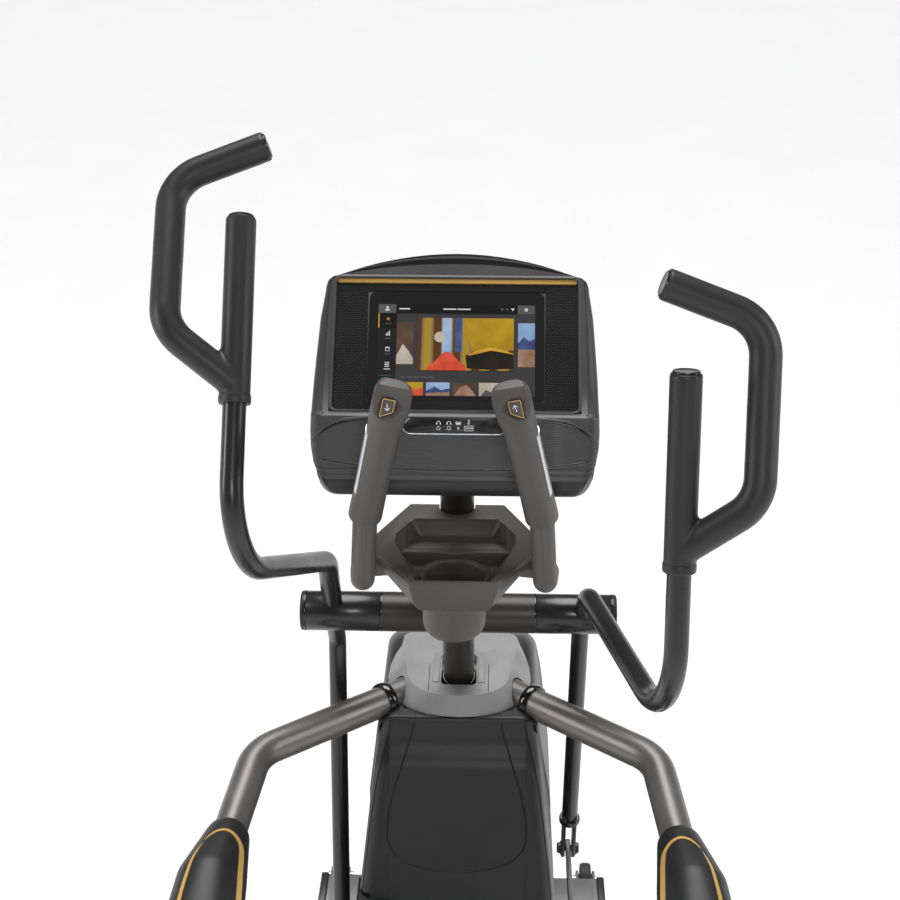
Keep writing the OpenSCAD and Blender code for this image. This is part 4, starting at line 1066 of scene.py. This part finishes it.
SKIRT = [(2, 317), (26, 319), (50, 324), (70, 333), (88, 346), (101, 362), (111, 384), (118, 408), (120, 432),
         (118, 466), (112, 500), (103, 524), (88, 540), (62, 547), (2, 548)]
CREST = [(2, 328), (20, 329.5), (38, 333), (53, 340), (66, 350), (75, 361), (80, 372), (84, 388), (89, 418),
         (94, 450), (99, 483), (96, 515), (84, 531), (60, 536), (2, 537)]
build = Build()
inner = [(x * 0.96, 432 + (y - 432) * 0.955) for x, y in SKIRT]
build.loft([cap_ring(inner, 764), cap_ring(SKIRT, 762), cap_ring(SKIRT, 765.5), cap_ring(CREST, 796)],
           caps=True)
cover = build.make("mast_cap_moulding", [cap_grey], "frame", SLOT["top_cap"], replaces=["top_cap"])
entry = mast_at((796 - 945) / math.cos(math.radians(20)))
cut = Build()
cut.prism(rounded(-29, entry.y - 33, 29, entry.y + 60, 9, 6), 740, 830)
boolean(cover, cut.make("cut_notch", [cap_grey], None))
arms = bend([(0, 470, 757), (311, 188, 775), (345, -105, 737)], 90, 16)
for side in (-1, 1):
    cut = Build(MIRROR[side])
    cut.tube(arms, 27.5, segs=48)
    boolean(cover, cut.make("cut_arm", [deep_black], None))
finish_edges(cover, 1.3, 3, angle=24, limit=20)
# Raised arch round the notch, seams beside it, and the seals where the tubes leave
build = Build()
arch = []
for r, ways in ((43, range(0, 181, 12)), (31.5, range(180, -1, -12))):
    arch += [(r * math.cos(math.radians(a)),
              entry.y + 40 + r * 1.05 * math.sin(math.radians(a))) for a in ways]
legs = [(43, entry.y - 27)] + arch[:16] + [(-43, entry.y - 27),
                                           (-31.5, entry.y - 27)] + arch[16:] + [(31.5, entry.y - 27)]
build.prism(legs, 794, 798.2)
build.make("mast_cap_arch", [cap_grey], "frame", SLOT["top_cap"], bevel=1.6, segments=3, angle=60)
build = Build()
for x in (-49, 49):
    build.tube([(x, entry.y + 30, 796.0), (x, 342, 796.0)], 0.55, segs=6)
    build.tube([(x, 339, 795.7), (x, 325.5, 766)], 0.45, segs=6)
build.make("mast_cap_seams", [deep_black], "frame", SLOT["top_cap"])
build = Build()
mast_frame = axis_frame(entry + mast_dir * -6, mast_dir)
lathe(build, [(25.5, -14), (28.8, -14), (29.0, 2.5), (27.6, 4.2), (25.5, 4.4)], mast_frame)
for side in (-1, 1):
    spot = Vector((124, 357.5, 764.2))
    way = Vector((0.742, -0.67, 0.043)).normalized()
    frame_in = MIRROR[side] @ axis_frame(spot, way)
    ring = [(25.5, -10), (29.2, -10), (30.2, -6), (30.2, 1.5), (28.6, 4), (25.5, 4.4)]
    lathe(build, ring if side > 0 else ring[::-1], frame_in)
build.make("tube_seals", [gloss_black], "frame", SLOT["top_cap"], angle=50)


# ---------- shroud ----------

def half_width(z):
    return lerp_table([(92, 166), (400, 166), (490, 158), (762, 126)], z)


SIDE_LINE = [(314, 762), (307, 722), (296, 704), (284, 690), (224, 530), (192, 440), (190, 92), (812, 92),
             (808, 420), (775, 600), (690, 705), (575, 762)]
outline = []
for i, point in enumerate(SIDE_LINE):
    a, b, c = (Vector(SIDE_LINE[(i + k) % len(SIDE_LINE)]) for k in (-1, 0, 1))
    reach = {1: 14, 2: 9, 3: 10, 0: 8}.get(i, 44)
    u, v = (a - b), (c - b)
    cut = min(reach, u.length * 0.45, v.length * 0.45)
    p, q = b + u.normalized() * cut, b + v.normalized() * cut
    outline += [p * (1 - t) ** 2 + b * 2 * t * (1 - t) + q * t * t for t in (k / 6 for k in range(7))]
dense = []
for a, b in zip(outline, outline[1:] + outline[:1]):
    parts = max(1, int((b - a).length // 22))
    dense += [a.lerp(b, k / parts) for k in range(parts)]
outline = dense
count = len(outline)
normals = []
for i in range(count):
    run = outline[(i + 1) % count] - outline[i - 1]
    normals.append(Vector((run.y, -run.x)).normalized())
middle = Vector((505, 430))
if (outline[0] + normals[0] - middle).length > (outline[0] - middle).length:
    normals = [-n for n in normals]


def shroud_ring(side, inset, short, shrink=0.0):
    """The side outline drawn in by inset, its width less by short; shrink pulls it to the middle."""
    ring = []
    for p, n in zip(outline, normals):
        q = (p + n * inset).lerp(middle, shrink)
        ring.append((side * (half_width(q.y) - short), q.x, q.y))
    return ring


EDGE = 24
turns = [(EDGE * (1 - math.sin(math.radians(a))), EDGE * (1 - math.cos(math.radians(a)))) for a in range(0,
                                                                                                         91,
                                                                                                         15)]
rings = [shroud_ring(-1, EDGE, 0, s) for s in (0.97, 0.7, 0.4, 0.15)]
rings += [shroud_ring(-1, inset, short) for inset, short in turns]
rings += [[(0.0, q.x, q.y) for q in outline]]
rings += [shroud_ring(1, inset, short) for inset, short in reversed(turns)]
rings += [shroud_ring(1, EDGE, 0, s) for s in (0.15, 0.4, 0.7, 0.97)]
build = Build()
build.loft(rings)
whole = build.make("shroud_whole", [shroud_black], None, angle=50)
work = bmesh.new()
work.from_mesh(whole.data)
bmesh.ops.recalc_face_normals(work, faces=work.faces)
skin_tree = BVHTree.FromBMesh(work)
work.to_mesh(whole.data)
work.free()


def on_skin(x, z, out=0.0):
    """The point of the shroud's rear skin at that place, in mm, moved out by that much."""
    spot, normal, _, _ = skin_tree.ray_cast(Vector((x * 0.001, 0, z * 0.001)), Vector((0, 1, 0)))
    if spot is None:
        spot, normal, _, _ = skin_tree.find_nearest(Vector((x * 0.001, 0.2, z * 0.001)))
    return spot * 1000 + normal * out


mod = whole.modifiers.new("wall", "SOLIDIFY")
mod.thickness = 0.003
mod.offset = -1
apply(whole)
cut = Build()
cut.prism([(-150, 205), (150, 205), (150, 735), (-150, 735)], 80, 100)
for side in (-1, 1):
    cut.prism([(side * a, b) for a, b in ((101, 150), (163, 150), (163, 260), (101, 260))][::side], 70, 480)
cut.prism([(-90, 340), (90, 340), (90, 560), (-90, 560)], 740, 790)
cut.prism([(-35, 780), (35, 780), (35, 830), (-35, 830)], 119, 181)
cut.prism([(-93, 150), (93, 150), (93, 830), (-93, 830)], 80, 96)
boolean(whole, cut.make("cut_openings", [deep_black], None))
for side in (-1, 1):
    cut = Build(MIRROR[side])
    cut.tube(arms, 28, segs=48)
    boolean(whole, cut.make("cut_arm_room", [deep_black], None))
# Seam lines pressed into the skin
neck = [(70, 762), (71.5, 738), (82, 712), (96, 673), (105, 645), (112, 612), (116, 586), (114, 566),
        (104, 549),
        (80, 536), (45, 527), (14, 524.5)]
neck = neck + [(-x, z) for x, z in reversed(neck)]
seam = []
for a, b in zip(neck, neck[1:]):
    steps = max(1, int(math.hypot(a[0] - b[0], a[1] - b[1]) // 9))
    seam += [(a[0] + (b[0] - a[0]) * k / steps, a[1] + (b[1] - a[1]) * k / steps) for k in range(steps)]
seam = [Vector(p) for p in seam + [neck[-1]]]
for _ in range(5):
    seam = [seam[0]] + [(a + b * 2 + c) / 4 for a, b, c in zip(seam, seam[1:], seam[2:])] + [seam[-1]]
cut = Build()
cut.tube([on_skin(p.x, p.y) for p in seam], 1.5, segs=8)
boolean(whole, cut.make("cut_neck_seam", [deep_black], None))
for side in (-1, 1):
    cut = Build()
    drop = [(18, 752), (17, 730), (10, 690), (6, 650), (4.5, 600), (4, 550), (4, 500), (4, 440), (4, 300),
            (4, 120)]
    path = []
    for k in range(65):
        z = 752 - k * 9.8
        gap = lerp_table(sorted((h, g) for g, h in drop), z)
        path.append(on_skin(side * (half_width(z) - gap), z))
    cut.tube(path, 1.8, segs=8)
    boolean(whole, cut.make("cut_side_seam", [deep_black], None))
smooth(whole.data, 30)


def flatten_shading(obj):
    """Lets the broad faces set the normals, so that cuts leave no streaks on them."""
    smooth(obj.data, 30)
    mod = obj.modifiers.new("normals", "WEIGHTED_NORMAL")
    mod.weight = 80
    mod.keep_sharp = True
    apply(obj)


def part_of_shroud(name, low, high, node_name):
    obj = whole.copy()
    obj.data = whole.data.copy()
    obj.name = obj.data.name = name
    scene.collection.objects.link(obj)
    cut = Build()
    cut.prism([(low[0], low[1]), (high[0], low[1]), (high[0], high[1]), (low[0], high[1])], low[2], high[2])
    boolean(obj, cut.make("keep", [deep_black], None), "INTERSECT")
    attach(obj, "frame")
    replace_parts(obj, node_name)
    return obj


flatten_shading(part_of_shroud("rear_panel_moulding", (-111.8, 100, 99), (111.8, 341, 800), "rear_panel"))
for label, side in SIDES:
    near, far = sorted((side * 0.2, side * 300))
    shell = part_of_shroud(label + "_shroud_moulding", (near, 100, 60), (far, 900, 900), label + "_shroud")
    cut = Build()
    cut.prism([(-112.1, 100), (112.1, 100), (112.1, 341.3), (-112.1, 341.3)], 93, 800)
    boolean(shell, cut.make("cut_panel", [deep_black], None))
    flatten_shading(shell)
bpy.data.objects.remove(whole)


# ---------- handlebar tubes ----------

CLEVIS = Vector((200, 641 / math.cos(math.radians(20.2)) * math.sin(math.radians(20.2)), -641))
LOWER_KNEE = Vector((200, 80, -55))
FORK_TOP = CLEVIS + (LOWER_KNEE - CLEVIS).normalized() * 92


def hull_of_two(a, ra, b, rb, n=20):
    """Outline round two circles in a plane."""
    a, b = Vector(a), Vector(b)
    way = math.atan2(b.y - a.y, b.x - a.x)
    lean = math.asin((ra - rb) / (b - a).length)
    far = [way - math.pi / 2 + lean + (math.pi - 2 * lean) * k / n for k in range(n + 1)]
    near = [way + math.pi / 2 - lean + (math.pi + 2 * lean) * k / n for k in range(n + 1)]
    return ([(b.x + rb * math.cos(t), b.y + rb * math.sin(t)) for t in far]
            + [(a.x + ra * math.cos(t), a.y + ra * math.sin(t)) for t in near])


BOLT_HEAD = [(0.4, 13.1), (12.5, 13.1), (12.5, 14.9), (10.2, 15), (10, 18.6), (8.4, 20.4), (0.4, 20.8)]
FORK_BLADE_X, FORK_BLADE_T = (187, 206), 7
for label, side in SIDES:
    rides = label + "_handle"
    build = Build(HANDLE[side])
    lathe(build, [(27.5, 123.6), (31.2, 123.6), (31.75, 124.2), (31.75, 242.4), (31.2, 243), (27.5, 243)],
          ALONG_X)
    build.make(label + "_pivot_sleeve", [black_paint], rides, SLOT[label + "_handlebar"], angle=50)
    build = Build(HANDLE[side])
    upper = bend([(200, -18, 16), (200, -104, 91), ELBOW, ELBOW + RISE * (GRIP_TO - 6)], [0, 52, 108, 0], 18)
    build.tube(upper, 15.9, segs=40)
    lower = bend([(200, 12, -12), LOWER_KNEE, FORK_TOP], [0, 30, 0], 12)
    build.tube(lower, 14.3, segs=40)
    build.make(label + "_handlebar_tubes", [black_paint], rides, SLOT[label + "_handlebar"], angle=60,
               replaces=[label + "_handlebar"])
    build = Build(HANDLE[side])
    lathe(build, [(2, 0), (16.5, 0), (18.6, 1.5), (19, 3.5), (19, 9), (18, 10.5), (2, 10.5)],
          axis_frame(FORK_TOP, CLEVIS - FORK_TOP), segs=40)
    build.make(label + "_fork_collar", [black_paint], rides, SLOT[label + "_handlebar"])
    build = Build(HANDLE[side])
    blade = hull_of_two((FORK_TOP.y, FORK_TOP.z), 15, (CLEVIS.y, CLEVIS.z), 17)
    for x in FORK_BLADE_X:
        build.prism(blade, x, x + FORK_BLADE_T, matrix=ALONG_X)
    build.make(label + "_fork_blades", [black_paint], rides, SLOT[label + "_handlebar"], bevel=1.2,
               segments=3)
    # Domed heads and washers on the clevis pin
    build = Build(HANDLE[side])
    pin = Matrix.Translation(CLEVIS) @ ALONG_X
    lathe(build, BOLT_HEAD, pin, segs=36)
    lathe(build, [(r, -h) for r, h in reversed(BOLT_HEAD)], pin, segs=36)
    lathe(build, [(0.4, -14), (5.9, -14), (5.9, 14), (0.4, 14)], pin, segs=36)
    build.make(label + "_clevis_bolt", [dark_bolt], rides, SLOT[label + "_clevis_pin"],
               replaces=[label + "_clevis_pin"])


# ---------- arm covers ----------

COVER_BALLS = [((333, -1, 751), 34), ((343, -90, 742), 51), ((342, -200, 700), 52), ((358, -200, 700), 52)]


def cover_body(name, grow, side):
    work = bmesh.new()
    for place, r in COVER_BALLS:
        at_place = Matrix.Translation(Vector(place) * 0.001)
        bmesh.ops.create_icosphere(work, subdivisions=4, radius=(r + grow) * 0.001, matrix=at_place)
    found = bmesh.ops.convex_hull(work, input=work.verts)
    inside = [e for e in found["geom_interior"] if isinstance(e, bmesh.types.BMVert)]
    bmesh.ops.delete(work, geom=inside, context="VERTS")
    held = set(e for e in found["geom"] if isinstance(e, bmesh.types.BMFace))
    loose = [f for f in work.faces if f not in held]
    bmesh.ops.delete(work, geom=loose, context="FACES_ONLY")
    if side < 0:
        for v in work.verts:
            v.co.x = -v.co.x
    bmesh.ops.recalc_face_normals(work, faces=work.faces)
    mesh = bpy.data.meshes.new(name)
    work.to_mesh(mesh)
    work.free()
    mesh.materials.append(shroud_black)
    obj = bpy.data.objects.new(name, mesh)
    scene.collection.objects.link(obj)
    return obj


def ribbon(build, tree, line, side):
    """A raised flat band on the cover: points (x, y, width) laid on the skin from above."""
    sections = []
    for k, (x, y, w) in enumerate(line):
        a, b = line[max(k - 1, 0)], line[min(k + 1, len(line) - 1)]
        across = Vector((b[1] - a[1], a[0] - b[0], 0)).normalized() * w / 2
        edge = []
        for s in (-1, 1):
            start = Vector((side * (x + s * across.x), y + s * across.y, 900)) * 0.001
            spot, normal, _, _ = tree.ray_cast(start, Vector((0, 0, -1)))
            edge.append((spot * 1000, normal))
        (p, n), (q, m) = edge
        sections.append([p - n * 0.8, p + n * 0.7, q + m * 0.7, q - m * 0.8])
    build.loft(sections)


def curve_through(points, steps=8):
    """Catmull-Rom curve through (x, y, width) points."""
    pts = [Vector(p) for p in points]
    pts = [pts[0] * 2 - pts[1]] + pts + [pts[-1] * 2 - pts[-2]]
    out = []
    for a, b, c, d in zip(pts, pts[1:], pts[2:], pts[3:]):
        for k in range(steps):
            t = k / steps
            out.append(0.5 * ((2 * b) + (c - a) * t + (2 * a - 5 * b + 4 * c - d) * t * t
                              + (3 * b - a - 3 * c + d) * t ** 3))
    return out + [pts[-2]]


for label, side in SIDES:
    cover = cover_body(label + "_arm_cover_shell", 0, side)
    work = bmesh.new()
    work.from_mesh(cover.data)
    tree = BVHTree.FromBMesh(work)
    work.free()
    boolean(cover, cover_body("inner", -3.5, side))
    cut = Build(MIRROR[side])
    cut.tube(arms, 26.6, segs=48)
    boolean(cover, cut.make("cut_tube", [deep_black], None))
    cut = Build(MIRROR[side])
    cut.prism([(320, -290), (380, -290), (380, -105), (320, -105)], 600, 690)
    boolean(cover, cut.make("cut_mouth", [deep_black], None))
    finish_edges(cover, 0.8, 2, angle=40, limit=45)
    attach(cover, "frame")
    if side > 0:
        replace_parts(cover, "arm_covers")
    build = Build()
    ribbon(build, tree, curve_through([
        (313, -216, 5), (302, -190, 5.5), (297, -160, 5.8), (299, -100, 5.8), (303, -52, 5.8),
        (308, -36, 5.8),
        (317, -26, 5.6), (329, -21.5, 5.4), (342, -26, 4.6), (352, -37, 2.4), (356, -44, 0.6)]), side)
    ribbon(build, tree, curve_through([(358, -52, 0.5), (362, -66, 2.2), (367, -90, 4.2), (374, -128, 5.6),
                                       (377, -160, 5.8), (374, -190, 5.6),
                                       (365, -214, 5), (340, -224, 5), (313, -216, 5)]), side)
    trim = build.make(label + "_cover_outline", [gold], "frame", SLOT["cover_trims"], angle=50)
    work = bmesh.new()
    work.from_mesh(trim.data)
    bmesh.ops.recalc_face_normals(work, faces=work.faces)
    work.to_mesh(trim.data)
    work.free()
    if side > 0:
        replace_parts(trim, "cover_trims")


# ---------- pedal mats and wheels ----------

RIB_MARGIN, RIB_PITCH = 12, 8.5
for label, side in SIDES:
    mat = nodes[label + "_pedal_mat"]
    faces = sorted(mat.data.polygons, key=lambda f: -f.area)
    up = next(f.normal.copy() for f in faces if f.normal.z > 0.5)
    ahead = Vector((0, up.z, -up.y)).normalized()
    basis = Matrix((Vector((1, 0, 0)), ahead, up)).transposed().to_4x4()
    local = [basis.inverted() @ (v.co * 1000) for v in mat.data.vertices]
    low = [min(p[k] for p in local) for k in range(3)]
    high = [max(p[k] for p in local) for k in range(3)]
    build = Build(basis)
    build.prism(rounded(low[0], low[1], high[0], high[1], 27, 8), low[2], low[2] + 3.4)
    build.make(label + "_pedal_mat_base", [tyre], label + "_step", SLOT[label + "_pedal_mat"], bevel=0.8,
               replaces=[label + "_pedal_mat"])
    build = Build(basis)
    y = low[1] + RIB_MARGIN
    while y < high[1] - RIB_MARGIN:
        tuck = max(0, 18 - min(y - low[1], high[1] - y)) * 0.9
        x0, x1 = low[0] + 7 + tuck, high[0] - 7 - tuck
        middle_x = (x0 + x1) / 2
        for a, b in ((x0, middle_x - 5), (middle_x + 5, x1)):
            build.prism([(a, y - 2.2), (b, y - 2.2), (b, y + 2.2), (a, y + 2.2)], low[2] + 3.2, high[2])
        y += RIB_PITCH
    build.make(label + "_pedal_mat_ribs", [tyre], label + "_step", SLOT[label + "_pedal_mat"], bevel=1.0,
               segments=2)
    wheel = label + "_transport_wheel"
    a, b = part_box(wheel)
    centre = (a + b) / 2 * 1000
    build = Build(Matrix.Translation(centre) @ ALONG_X)
    lathe(build, [(23.5, -8.5), (30.5, -10.8), (32.8, -9), (33.8, -5), (34, 0), (33.8, 5), (32.8, 9),
                  (30.5, 10.8), (23.5, 8.5)],
          Matrix.Identity(4), 0)
    lathe(build, [(6.4, -12.8), (12.5, -12.8), (14, -10.5), (15, -6), (23.6, -5), (23.6, 5), (15, 6),
                  (14, 10.5),
                  (12.5, 12.8), (6.4, 12.8)], Matrix.Identity(4), 1)
    build.make(wheel + "_tyre", [tyre, deep_black], label + "_wheel", SLOT[wheel], replaces=[wheel])


# ---------- eased edges on the welded and moulded parts ----------

for name, finish, width, body in (
        ("front_stabilizer", grey_metal, 1.6, "frame"), ("rear_stabilizer", black_paint, 1.6, "frame"),
        ("stabilizer_caps", deep_black, 2.4, "frame"),
        ("left_handle_link", grey_metal, 1.0, "left_connector"),
        ("right_handle_link", grey_metal, 1.0, "right_connector"),
        ("left_foot_link", black_paint, 1.6, "left_step"),
        ("right_foot_link", black_paint, 1.6, "right_step"), ("left_pedal", deep_black, 2.2, "left_step"),
        ("right_pedal", deep_black, 2.2, "right_step"), ("power_inlet", deep_black, 0.8, "frame")):
    broken_edges(name, finish, width, body)


# ---------- floor ----------

floor_paint = material("studio_floor_paint", (0.90, 0.90, 0.90), 0.6, mottle=0.006, cloud=3, grain=300,
                       bump=0.02,
                       vary=0.03)
build = Build()
FLOOR_REACH, FLOOR_CELLS, FLOOR_DROP = 300000, 12, -0.4
ticks = [-FLOOR_REACH + 2 * FLOOR_REACH * i / FLOOR_CELLS for i in range(FLOOR_CELLS + 1)]
row = FLOOR_CELLS + 1
build.add([(x, y, FLOOR_DROP) for y in ticks for x in ticks],
          [(j * row + i, j * row + i + 1, (j + 1) * row + i + 1, (j + 1) * row + i)
           for j in range(FLOOR_CELLS) for i in range(FLOOR_CELLS)])
floor = build.make("studio_floor", [floor_paint], None)
